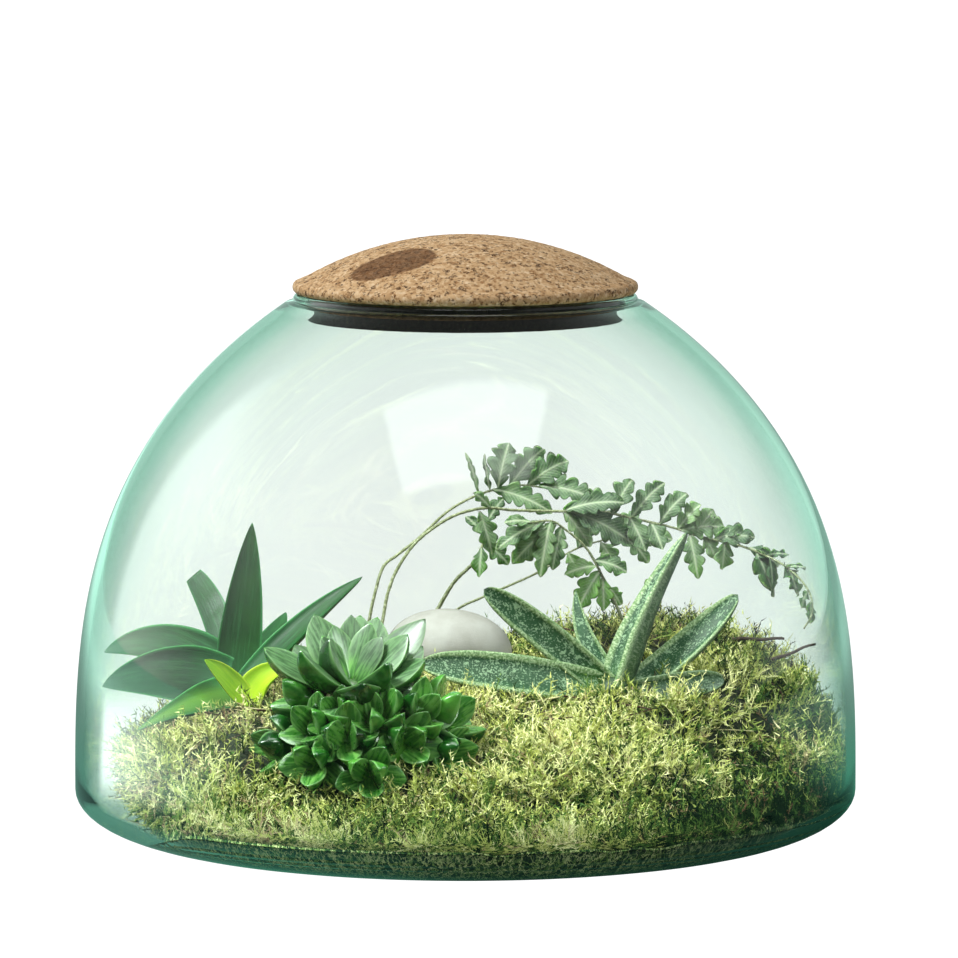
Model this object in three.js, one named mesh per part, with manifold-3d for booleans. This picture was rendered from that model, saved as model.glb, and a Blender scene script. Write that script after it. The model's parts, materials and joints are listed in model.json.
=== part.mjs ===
// A closed glass terrarium: a blown glass dome with a cork lid, planted with moss, three succulents and a fern.
// Millimetres, +Z up. The origin is the middle of the foot, on the surface that it stands on; -Y is the front.
import * as THREE from "three";
import { mergeVertices } from "three/addons/utils/BufferGeometryUtils.js";
import Module from "manifold-3d";

const wasm = await Module();
wasm.setup();

// ---- driving dimensions ----
const GLASS = {
  radius: 140, // widest, outside
  wideFrom: 14.96, // height where the dome starts to close
  closeOver: 203.04, // height over which it would close to a point
  bulge: 2.887, // how long the wall stays upright
  shoulder: 1.366, // how fast the shoulder turns in
  heelHeight: 16.3, // rounded heel between foot and wall
  footRadius: 105, // outer edge of the ring that it stands on
  puntRadius: 68, // the base is hollowed a little inside this radius
  puntDepth: 1.2,
  wall: 3,
  floor: 2.6, // top of the glass base
  mouthHeight: 193.5, // top of the rim
  mouthRadius: 61.5, // outside of the rim bead
  bead: 1.9, // radius of the fire-polished rim
  around: 44, // facets round the axis
};
const LID = {
  radius: 61.8, // widest, at the rounded edge
  edge: 2.2, // radius of that edge
  underside: 193.8, // rests on the rim
  top: 214.5,
  crown: 114.8, // radius of the domed top
  plugRadius: 56.7,
  plugBottom: 183.2,
  plugChamfer: 1.2,
  around: 36,
};
const SCOOP = { at: [-20.5, -30, 205.5], run: [0.884, 0.298, -0.357], radius: 10.5, length: 40 }; // thumb hollow
const BED = {
  mossDepth: 11, // moss over the soil
  soilShoulder: 103, // where the soil starts to fall to the base
  soilRadius: 108,
  soilEdge: 3.7,
  toGlass: 0.9, // room between moss and wall
  toFloor: 1.1, // room between moss and the curved base
  reach: 134, // the moss ends about here, at the wall
  leastMoss: 3, // thickness of the moss where it thins out
  gap: 0.4, // between neighbours
  matInner: 28, // radius of the middle mat
  around: 36,
};
const BARE = { at: 3.26, half: 0.73, from: 109.2, share: 0.73 }; // where the moss stops short of the wall, in radians
const STONE = { at: [-6, 38, 60], half: [23.5, 21, 15] };
const STEM_SIDES = 4;
const BLADE = 0.8; // thickness of a fern blade at its rib
const SWAY = 0.22; // how far a blade leans forwards or back, against its length
const FULLER = 1.35; // the pressed width of a blade against the width across its notches
const LOBES = { from: 0.2, span: 0.55, widest: 0.62, notch: 0.98, deep: 0.58, taper: 0.22 }; // shares of a blade

// Heights of the planted ground at places across the bed: x, y, z.
const LIE = [
  [0, -122, 15], [-50, -112, 17], [52, -112, 15], [92, -86, 17], [116, -56, 21], [131, -15, 27], [129, 27, 42],
  [112, 56, 54], [86, 80, 59], [66, 60, 67], [40, 95, 54], [0, 112, 46], [13, 80, 52], [-45, 100, 42],
  [-86, 80, 34], [-113, 46, 26], [-131, 2, 14], [-106, 6, 38], [-125, -44, 16], [-100, -52, 40], [-83, -45, 46],
  [-92, -84, 28],
  [-33, -62, 37], [0, -86, 31], [33, -55, 39], [62, -62, 34], [52, 0, 49], [20, -12, 48], [-10, 0, 49],
  [-40, 20, 49], [-80, 8, 49], [88, 22, 53], [-6, 38, 51],
];
const LIE_SPREAD = 17;

// ---- small tools ----
const V = (p) => new THREE.Vector3(...p);

// A repeatable random number generator, so that every run gives the same plant.
function seeded(seed) {
  let s = seed >>> 0;
  return () => {
    s = (s + 0x6d2b79f5) >>> 0;
    let t = Math.imul(s ^ (s >>> 15), 1 | s);
    t = (t + Math.imul(t ^ (t >>> 7), 61 | t)) ^ t;
    return ((t ^ (t >>> 14)) >>> 0) / 4294967296;
  };
}

// Merges shared corners, drops triangles that collapse, and turns the faces outwards.
function closed(geometry) {
  const bare = geometry.clone();
  for (const name of Object.keys(bare.attributes)) if (name !== "position") bare.deleteAttribute(name);
  const merged = mergeVertices(bare, 1e-4);
  const p = merged.getAttribute("position");
  const index = [];
  const corner = [new THREE.Vector3(), new THREE.Vector3(), new THREE.Vector3()];
  let volume = 0;
  for (let i = 0; i < merged.index.count; i += 3) {
    const t = [0, 1, 2].map((k) => merged.index.getX(i + k));
    if (t[0] === t[1] || t[1] === t[2] || t[2] === t[0]) continue;
    t.forEach((v, k) => corner[k].fromBufferAttribute(p, v));
    volume += corner[0].dot(corner[1].clone().cross(corner[2]));
    index.push(...t);
  }
  if (volume < 0) for (let i = 0; i < index.length; i += 3) [index[i], index[i + 1]] = [index[i + 1], index[i]];
  merged.setIndex(index);
  return merged;
}

function solid(geometry) {
  const body = closed(geometry);
  return new wasm.Manifold(
    new wasm.Mesh({
      numProp: 3,
      vertProperties: new Float32Array(body.getAttribute("position").array),
      triVerts: new Uint32Array(body.index.array),
    }),
  );
}

function surface(body) {
  const mesh = body.getMesh();
  const geometry = new THREE.BufferGeometry();
  geometry.setAttribute("position", new THREE.BufferAttribute(new Float32Array(mesh.vertProperties), 3));
  geometry.setIndex(new THREE.BufferAttribute(new Uint32Array(mesh.triVerts), 1));
  return geometry;
}

const join = (bodies) => bodies.reduce((all, body) => all.add(body));
const largest = (body) => body.decompose().reduce((best, part) => (part.volume() > best.volume() ? part : best));

// Skins rings of equal count into one closed tube; a last ring of one point is a tip.
function skin(rings) {
  const n = rings[0].length;
  const positions = [];
  const index = [];
  for (const ring of rings) for (const p of ring) positions.push(p.x, p.y, p.z);
  for (let r = 0; r < rings.length - 1; r++) {
    const a = r * n;
    const b = a + n;
    for (let k = 0; k < n; k++) {
      const l = (k + 1) % n;
      if (rings[r + 1].length === 1) index.push(a + k, a + l, b);
      else index.push(a + k, a + l, b + l, a + k, b + l, b + k);
    }
  }
  for (let k = 1; k < n - 1; k++) index.push(0, k + 1, k);
  const last = rings[rings.length - 1];
  if (last.length > 1) {
    const a = (rings.length - 1) * n;
    for (let k = 1; k < n - 1; k++) index.push(a, a + k, a + k + 1);
  }
  const geometry = new THREE.BufferGeometry();
  geometry.setAttribute("position", new THREE.Float32BufferAttribute(positions, 3));
  geometry.setIndex(index);
  return geometry;
}

// The curve of a leaf from foot to tip through its middle, with the side and face directions along it.
function spine({ foot, mid, tip, face }) {
  const [a, m, b] = [V(foot), V(mid), V(tip)];
  const handle = m.clone().multiplyScalar(2).sub(a.clone().add(b).multiplyScalar(0.5));
  const curve = new THREE.QuadraticBezierCurve3(a, handle, b);
  return (t) => {
    const along = curve.getTangent(Math.min(t, 0.999));
    const up = V(face).addScaledVector(along, -V(face).dot(along)).normalize();
    return { at: curve.getPoint(t), up, side: along.clone().cross(up).normalize() };
  };
}

// ---- glass and cork ----
const wallRadius = (z) =>
  GLASS.radius * (1 - ((z - GLASS.wideFrom) / GLASS.closeOver) ** GLASS.bulge) ** (1 / GLASS.shoulder);

// Inside radius at a height: the heel is a quarter ellipse, and above it the wall keeps its thickness.
const HEEL_IN = { r: GLASS.footRadius - 1, top: GLASS.heelHeight + 1.2 };
function insideRadius(z) {
  if (z < HEEL_IN.top) {
    const down = (HEEL_IN.top - z) / (HEEL_IN.top - GLASS.floor);
    return HEEL_IN.r + (GLASS.radius - GLASS.wall - HEEL_IN.r) * Math.sqrt(Math.max(0, 1 - down * down));
  }
  const slope = wallRadius(z + 0.5) - wallRadius(z - 0.5);
  return wallRadius(z) - GLASS.wall * Math.sqrt(1 + slope * slope);
}

function floorHeight(r) {
  const out = (r - HEEL_IN.r) / (GLASS.radius - GLASS.wall - HEEL_IN.r);
  return out < 0 ? GLASS.floor : HEEL_IN.top - (HEEL_IN.top - GLASS.floor) * Math.sqrt(1 - out * out);
}

function turned(profile, around) {
  return new THREE.LatheGeometry(profile.map(([r, z]) => new THREE.Vector2(r, z)), around).rotateX(Math.PI / 2);
}

function glassVessel() {
  const quarter = [0.25, 0.5, 0.75].map((t) => (t * Math.PI) / 2);
  const heelOut = quarter.map((a) => [
    GLASS.footRadius + (GLASS.radius - GLASS.footRadius) * Math.sin(a),
    GLASS.heelHeight * (1 - Math.cos(a)),
  ]);
  const heelIn = quarter.map((a) => [
    HEEL_IN.r + (GLASS.radius - GLASS.wall - HEEL_IN.r) * Math.sin(a),
    HEEL_IN.top - (HEEL_IN.top - GLASS.floor) * Math.cos(a),
  ]);
  const heights = [GLASS.heelHeight, 66, 104, 133, 157, 177];
  const beadAt = [GLASS.mouthRadius - GLASS.bead, GLASS.mouthHeight - GLASS.bead];
  const rim = [-0.15, 0.2, 0.5, 0.8, 1.1].map((t) => [
    beadAt[0] + GLASS.bead * Math.cos(t * Math.PI),
    beadAt[1] + GLASS.bead * Math.sin(t * Math.PI),
  ]);
  return turned(
    [
      [0, GLASS.puntDepth],
      [GLASS.puntRadius * 0.6, GLASS.puntDepth],
      [GLASS.puntRadius, 0],
      [GLASS.footRadius, 0],
      ...heelOut,
      ...heights.map((z) => [wallRadius(z), z]),
      ...rim,
      ...heights.slice(1).reverse().map((z) => [insideRadius(z), z]),
      [insideRadius(HEEL_IN.top), HEEL_IN.top],
      ...heelIn.reverse(),
      [HEEL_IN.r, GLASS.floor],
      [0, GLASS.floor],
    ],
    GLASS.around,
  );
}

function corkLid() {
  const edgeAt = [LID.radius - LID.edge, LID.underside + LID.edge];
  const edge = [-0.5, -0.17, 0.1, 0.33].map((t) => [
    edgeAt[0] + LID.edge * Math.cos(t * Math.PI),
    edgeAt[1] + LID.edge * Math.sin(t * Math.PI),
  ]);
  const crownAt = LID.top - LID.crown;
  const crown = [54, 42, 29, 15, 0].map((r) => [r, crownAt + Math.sqrt(LID.crown ** 2 - r * r)]);
  const body = solid(
    turned(
      [
        [0, LID.plugBottom],
        [LID.plugRadius - LID.plugChamfer, LID.plugBottom],
        [LID.plugRadius, LID.plugBottom + LID.plugChamfer],
        [LID.plugRadius, LID.underside],
        ...edge,
        ...crown,
      ],
      LID.around,
    ),
  );
  const run = V(SCOOP.run).normalize();
  const scoop = new THREE.CapsuleGeometry(SCOOP.radius, SCOOP.length, 6, 16)
    .translate(0, -SCOOP.length / 2, 0)
    .applyQuaternion(new THREE.Quaternion().setFromUnitVectors(new THREE.Vector3(0, 1, 0), run))
    .translate(...SCOOP.at);
  return surface(body.subtract(solid(scoop)));
}

// ---- the bed: soil, moss mats, stone ----
// Height of the moss at a place: the nearby heights of LIE, weighted by nearness.
function lie(x, y) {
  let sum = 0;
  let weight = 0;
  for (const [px, py, pz] of LIE) {
    const w = Math.exp(-((x - px) ** 2 + (y - py) ** 2) / (2 * LIE_SPREAD ** 2));
    sum += w * pz;
    weight += w;
  }
  return sum / weight;
}

// Rays bend a little as they run out, so that the joins between mats aren't straight.
const bentAngle = (angle, r) => angle + 0.1 * Math.sin(r / 17 + 2 * angle);
const hummock = (x, y) => 1.3 * Math.sin(x / 5.3 + 1.7 * Math.sin(y / 7)) * Math.cos(y / 6.1 + x / 19);

function mossTop(x, y) {
  const r = Math.hypot(x, y);
  return Math.max(lie(x, y) + hummock(x, y), floorHeight(Math.min(r, BED.reach)) + BED.leastMoss);
}

const pastSoil = (x, y) => Math.hypot(x, y) > BED.soilShoulder + 0.5;

function soilTop(x, y) {
  return pastSoil(x, y) ? BED.soilEdge : Math.max(lie(x, y) - BED.mossDepth, BED.soilEdge + 1);
}

function mossUnder(x, y) {
  return pastSoil(x, y) ? floorHeight(Math.hypot(x, y)) + BED.toFloor : soilTop(x, y) + BED.gap;
}

// The radius of a ring of the bed, drawn in over the bare stretch.
function drawnIn(angle, r) {
  const off = Math.atan2(Math.sin(angle - BARE.at), Math.cos(angle - BARE.at)) / BARE.half;
  if (r <= BARE.from || Math.abs(off) >= 1) return r;
  return BARE.from + (r - BARE.from) * (1 - BARE.share * Math.cos((off * Math.PI) / 2) ** 2);
}

// A solid between two height functions over a disc, a ring or a sector of rays.
function bedPiece({ radii, from = 0.5, rays = BED.around, top, under, shy = 0, flat = false }) {
  const whole = rays === BED.around;
  const positions = [];
  const index = [];
  const rimAt = (i, j) => {
    const angle = bentAngle(((from + i) * 2 * Math.PI) / BED.around, radii[j]);
    const turn = whole ? 0 : i === 0 ? shy : i === rays ? -shy : 0;
    const a = angle + turn / Math.max(radii[j], 1);
    let r = drawnIn(angle, radii[j]);
    if (r > BED.reach - 4) {
      const z = mossTop(r * Math.cos(a), r * Math.sin(a));
      r = Math.min(r, insideRadius(Math.max(z, HEEL_IN.top)) - BED.toGlass);
    }
    return [r * Math.cos(a), r * Math.sin(a)];
  };
  const rows = whole ? rays : rays + 1;
  const disc = radii[0] === 0;
  const vertex = (i, j, low) => ((disc && j === 0 ? 0 : i % rows) * radii.length + j) * 2 + low;
  for (let i = 0; i < rows; i++) {
    for (let j = 0; j < radii.length; j++) {
      const [x, y] = rimAt(i, j);
      positions.push(x, y, top(x, y), x, y, under(x, y));
    }
  }
  const quad = (a, b, c, d) => index.push(a, b, c, a, c, d);
  const last = radii.length - 1;
  for (let i = 0; i < rays; i++) {
    for (let j = 0; j < last; j++) {
      quad(vertex(i, j, 0), vertex(i, j + 1, 0), vertex(i + 1, j + 1, 0), vertex(i + 1, j, 0));
      if (!flat) quad(vertex(i, j, 1), vertex(i + 1, j, 1), vertex(i + 1, j + 1, 1), vertex(i, j + 1, 1));
    }
    if (flat) index.push(vertex(0, 0, 1), vertex(i + 1, last, 1), vertex(i, last, 1));
    quad(vertex(i, last, 0), vertex(i, last, 1), vertex(i + 1, last, 1), vertex(i + 1, last, 0));
    if (!disc) quad(vertex(i, 0, 0), vertex(i + 1, 0, 0), vertex(i + 1, 0, 1), vertex(i, 0, 1));
  }
  if (!whole) {
    for (let j = 0; j < last; j++) {
      quad(vertex(0, j, 0), vertex(0, j, 1), vertex(0, j + 1, 1), vertex(0, j + 1, 0));
      quad(vertex(rays, j, 0), vertex(rays, j + 1, 0), vertex(rays, j + 1, 1), vertex(rays, j, 1));
    }
  }
  const geometry = new THREE.BufferGeometry();
  geometry.setAttribute("position", new THREE.Float32BufferAttribute(positions, 3));
  geometry.setIndex(index);
  return solid(geometry);
}

const INNER_RADII = [0, 14, BED.matInner - 0.3];
const MAT_RADII = [BED.matInner + 0.3, 45, 64, 84, BED.soilShoulder, 109.2, 120, 128, 134.6];
const SOIL_RADII = [0, 14, 28, 45, 64, 84, BED.soilShoulder, BED.soilRadius];
const MATS = [
  { name: "moss_right", from: -4.5 },
  { name: "moss_back", from: 4.5 },
  { name: "moss_left", from: 13.5 },
  { name: "moss_front", from: 22.5 },
];

function pebble(grow = 0) {
  const body = new THREE.SphereGeometry(1, 14, 9).rotateX(Math.PI / 2);
  const p = body.getAttribute("position");
  for (let i = 0; i < p.count; i++) {
    const [x, y, z] = [p.getX(i), p.getY(i), p.getZ(i)];
    const [hx, hy, hz] = STONE.half.map((h) => h + grow);
    const lump = 1 + 0.03 * Math.sin(3 * x + 1) * Math.cos(2.5 * y) - 0.05 * x * z; // a worn, uneven egg
    p.setXYZ(i, hx * x * lump, hy * y * lump, hz * z * (1 - 0.06 * x));
  }
  return solid(body.translate(...STONE.at));
}

// ---- plants ----
// Each root is a plain peg that stands in a hole through the moss into the soil.
const ROOTS = {
  haworthia: { at: [-37, -64], radius: 13, bottom: 20 },
  aloe: { at: [-82, 6], radius: 6.5, bottom: 33 },
  young: { at: [-77.5, -12.5], radius: 1.8, bottom: 40 },
  gasteria: { at: [54, -2], radius: 5.5, bottom: 33 },
  frond_upper: { at: [-36, 47], radius: 0.9, bottom: 41 },
  frond_long: { at: [-32, 33], radius: 0.9, bottom: 41 },
  frond_inner: { at: [-14, 67], radius: 1.2, bottom: 43 },
  frond_rear: { at: [-9, 79], radius: 0.8, bottom: 44 },
  frond_low: { at: [63, 42], radius: 0.9, bottom: 50 },
  seedling: { at: [65, 54], radius: 0.8, bottom: 58 },
};

const HOLE_TOP = 120; // holes are cut from above the highest moss
const PEG_STANDS = 2.5; // a peg ends this high over the ground, inside its plant

function rootPeg({ at, radius, bottom }, grow = 0, top = lie(...at) + PEG_STANDS) {
  const sides = radius > 3 ? 12 : 6;
  const tall = top - bottom + grow;
  return solid(
    new THREE.CylinderGeometry(radius + grow, radius + grow, tall, sides)
      .rotateX(Math.PI / 2)
      .translate(at[0], at[1], top - tall / 2),
  );
}

// What a leaf has below the moss is left off; the peg carries the plant.
function planted(leaves, root, ground) {
  return largest(join(leaves).subtract(ground).add(rootPeg(root)));
}

// A fleshy leaf with a hollowed or flat upper face and a keel below. Shape gives [t, share of width, share of depth].
function fleshyLeaf(leaf, { width, depth, hollow = 0, margin = 0.12, shape }) {
  const frame = spine(leaf);
  const rings = shape.map(([t, w, d]) => {
    const { at, up, side } = frame(t);
    const [half, deep] = [(width * w) / 2, depth * d];
    const point = (s, u) => at.clone().addScaledVector(side, s).addScaledVector(up, u);
    const lip = Math.max(0.5, depth * margin);
    return [
      point(0, -deep),
      point(-half, -lip * d),
      point(-half * 0.94, lip * d * 0.4),
      point(0, -hollow * w),
      point(half * 0.94, lip * d * 0.4),
      point(half, -lip * d),
    ];
  });
  rings.push([V(leaf.tip)]);
  return solid(skin(rings));
}

// A small boat-shaped leaf: keeled below, and flat or slightly crowned above.
function boatLeaf(leaf, { width, depth, shape, crowned = true, grow = 0 }) {
  const frame = spine(leaf);
  const rings = shape.map(([t, w, d]) => {
    const { at, up, side } = frame(t);
    const [half, deep] = [(width * w) / 2, depth * d];
    const point = (s, u) => at.clone().addScaledVector(side, s).addScaledVector(up, u);
    const [left, right] = [point(-half - grow, 0), point(half + grow, 0)];
    const middle = crowned ? [point(0, deep * 0.25 + grow)] : [];
    return [point(0, -deep - grow), left, ...middle, right];
  });
  rings.push([V(leaf.tip).add(frame(1).at.sub(V(leaf.foot)).setLength(2 * grow))]);
  return solid(skin(rings));
}

const BOAT = [[0, 0.6, 0.8], [0.5, 1, 1], [0.8, 0.74, 0.75]];
const SMALL_BOAT = [[0, 0.6, 0.8], [0.5, 1, 1], [0.84, 0.74, 0.7]];

// Large head of the front succulent: the tip of each leaf, round one crown.
const HEAD = { crown: [-40, -61, 60], axis: [0.05, -0.42, 0.9], width: 13, depth: 6.5, coreRadius: 9, room: 0.7 };
const HEAD_TIPS = [
  [-70, -66, 75], [-53, -46, 84], [-57, -80, 76], [-47, -72, 79], [-37, -40, 83], [-31, -38, 82], [-14, -50, 83],
  [-20, -62, 79], [-14, -68, 71], [-10, -74, 57], [-27, -82, 72], [-35, -92, 66], [-44, -90, 54], [-15, -40, 72],
  [-60, -36, 72], [-40, -28, 70],
];

function haworthiaHead(grow = 0) {
  const crown = V(HEAD.crown);
  const leaves = HEAD_TIPS.map((tip) => {
    const out = V(tip).sub(crown);
    const foot = crown.clone().addScaledVector(out, 0.12);
    const mid = crown.clone().addScaledVector(out, 0.55).add(new THREE.Vector3(0, 0, -1.5));
    return boatLeaf({ foot: foot.toArray(), mid: mid.toArray(), tip, face: HEAD.axis }, { ...HEAD, shape: BOAT, grow });
  });
  const core = solid(new THREE.SphereGeometry(HEAD.coreRadius + grow, 10, 6).translate(...HEAD.crown));
  return join([...leaves, core]);
}

// Smaller heads that crowd below it: centre, the way that each looks, and its size.
const MOUND = { at: [-35, -66, 38], half: [29, 25, 21] };
const OFFSETS = [
  [[-57, -64, 57], [-0.7, -0.3, 0.6], 14], [[-53, -80, 49], [-0.3, -0.8, 0.5], 12], [[-65, -74, 41], [-0.9, -0.5, 0.1], 13],
  [[-52, -88, 38], [-0.3, -0.9, 0.2], 12], [[-41, -88, 46], [0, -1, 0.3], 13], [[-29, -80, 54], [0.1, -0.6, 0.7], 13],
  [[-20, -84, 44], [0.3, -0.9, 0.3], 13], [[-6, -66, 50], [0.8, -0.3, 0.6], 15], [[-33, -93, 34], [0, -1, 0.2], 12],
  [[-5, -76, 39], [0.8, -0.6, 0.2], 12], [[-17, -43, 49], [0.5, 0.7, 0.5], 14], [[-52, -42, 49], [-0.5, 0.8, 0.5], 14],
];
const OFFSET_LEAVES = 5;

function haworthiaOffsets() {
  const random = seeded(11);
  const leaves = [];
  for (const [at, look, size] of OFFSETS) {
    const axis = V(look).normalize();
    const across = new THREE.Vector3(0, 0, 1).cross(axis).normalize();
    const over = axis.clone().cross(across);
    for (let k = 0; k < OFFSET_LEAVES; k++) {
      const round = k * 2.4 + random() * 0.5;
      const lean = 0.45 + 0.16 * k;
      const out = axis.clone().multiplyScalar(Math.cos(lean));
      out.addScaledVector(across, Math.sin(lean) * Math.cos(round)).addScaledVector(over, Math.sin(lean) * Math.sin(round));
      const root = V(at).addScaledVector(axis, -size * 0.35);
      const tip = root.clone().addScaledVector(out, size * (1.15 + 0.2 * random()));
      const foot = root.clone().addScaledVector(out, 0.5);
      const mid = root.clone().lerp(tip, 0.52).addScaledVector(axis, -0.8);
      const shape = { width: size * 0.62, depth: size * 0.4, shape: SMALL_BOAT, crowned: false };
      leaves.push(boatLeaf({ foot: foot.toArray(), mid: mid.toArray(), tip: tip.toArray(), face: look }, shape));
    }
  }
  const mound = solid(new THREE.SphereGeometry(1, 12, 7).scale(...MOUND.half).translate(...MOUND.at));
  return [mound, ...leaves];
}

// Left succulent with long smooth leaves. Each: foot, middle, tip, way its face looks, width, depth.
const SMOOTH = [[0, 0.8, 1], [0.25, 1, 1], [0.5, 0.86, 0.85], [0.75, 0.58, 0.6], [0.92, 0.26, 0.4]];
const BLUNT = [[0, 0.8, 1], [0.3, 1, 0.9], [0.6, 0.95, 0.8], [0.9, 0.75, 0.6], [0.985, 0.6, 0.5]];
const ALOE = [
  { foot: [-83, 10, 52], mid: [-80, 15, 79], tip: [-77, 20, 109], face: [0.15, -1, 0.1], width: 16, depth: 3.5, hollow: 0.6 },
  { foot: [-85, 18, 54], mid: [-91, 38, 72], tip: [-100, 51, 86], face: [-0.4, -0.9, 0.5], width: 11, depth: 3, shape: BLUNT },
  { foot: [-80, 6, 53], mid: [-59, 9, 74], tip: [-37, 14, 90], face: [-0.5, -0.6, 0.6], width: 12, depth: 3.5, hollow: 1.2 },
  { foot: [-85, 8, 54], mid: [-108, 12, 69], tip: [-129, 12, 61], face: [0, -0.3, 1], width: 15, depth: 3.5, hollow: 0.8 },
  { foot: [-85, 3, 53], mid: [-108, -2, 58], tip: [-128, -6, 54], face: [0, -0.6, 0.8], width: 15, depth: 3.5, hollow: 0.6 },
  { foot: [-80, -1, 51], mid: [-96, -18, 52], tip: [-114, -32, 46.5], face: [-0.2, -0.5, 1], width: 12, depth: 3.5, hollow: 1.8 },
  { foot: [-81, 12, 52], mid: [-72, 34, 64], tip: [-66, 54, 72], face: [-0.2, -0.6, 0.8], width: 12, depth: 3.5, hollow: 1 },
];
const ALOE_CORE = { at: [-82.5, 6, 51], radius: 8.5 };
const YOUNG = [
  { foot: [-77.5, -12.3, 48.5], mid: [-85.5, -13, 58], tip: [-93, -13, 63.5], face: [0.3, -0.7, 0.7], width: 6, depth: 2 },
  { foot: [-78, -12.3, 48.5], mid: [-72.5, -13.5, 57.5], tip: [-62.5, -16, 61], face: [-0.3, -0.7, 0.8], width: 8.5, depth: 2 },
];

function aloeLeaves() {
  return ALOE.map((leaf) => fleshyLeaf(leaf, { shape: SMOOTH, ...leaf }));
}

// Right succulent with rough, spotted, thick-edged leaves.
const STRAP = [[0, 0.75, 1], [0.2, 0.95, 1], [0.45, 1, 0.9], [0.7, 0.86, 0.75], [0.9, 0.5, 0.5], [0.97, 0.28, 0.35]];
const TAPER = [[0, 0.9, 1], [0.2, 1, 1], [0.45, 0.82, 0.85], [0.7, 0.55, 0.65], [0.9, 0.25, 0.4]];
const GASTERIA = [
  { foot: [50, -4, 51.5], mid: [17, -14, 58.5], tip: [-16, -20, 63], face: [-0.1, -0.85, 0.5], width: 14.5, depth: 5, shape: STRAP },
  { foot: [53, -3, 50], mid: [29, -6.5, 71], tip: [6.5, -11, 88.5], face: [-0.5, -0.6, 0.7], width: 9.5, depth: 5, shape: STRAP },
  { foot: [53, 4, 52], mid: [43, 13, 69], tip: [40, 22, 84], face: [-0.2, -0.9, 0.3], width: 6.5, depth: 2.5, shape: TAPER },
  { foot: [52, -1, 48], mid: [62, 4, 76], tip: [80, 10, 107], face: [-0.75, -0.6, 0.25], width: 13, depth: 6.5, shape: TAPER },
  { foot: [56, 1, 49], mid: [76, 5, 63], tip: [98, 6, 84.5], face: [-0.35, -0.7, 0.7], width: 12.5, depth: 5, shape: STRAP },
  { foot: [56, -5, 50], mid: [77, -9, 53.5], tip: [92.5, -11, 56], face: [0, -0.7, 0.7], width: 8.5, depth: 4, shape: STRAP },
  { foot: [53, 5, 51], mid: [55, 24, 60], tip: [58, 34, 72], face: [0, -0.5, 0.8], width: 9, depth: 4, shape: TAPER },
];
const GASTERIA_CORE = { at: [54, -1, 49], radius: 7.5 };
const GASTERIA_HOLLOW = 1.1;

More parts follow.
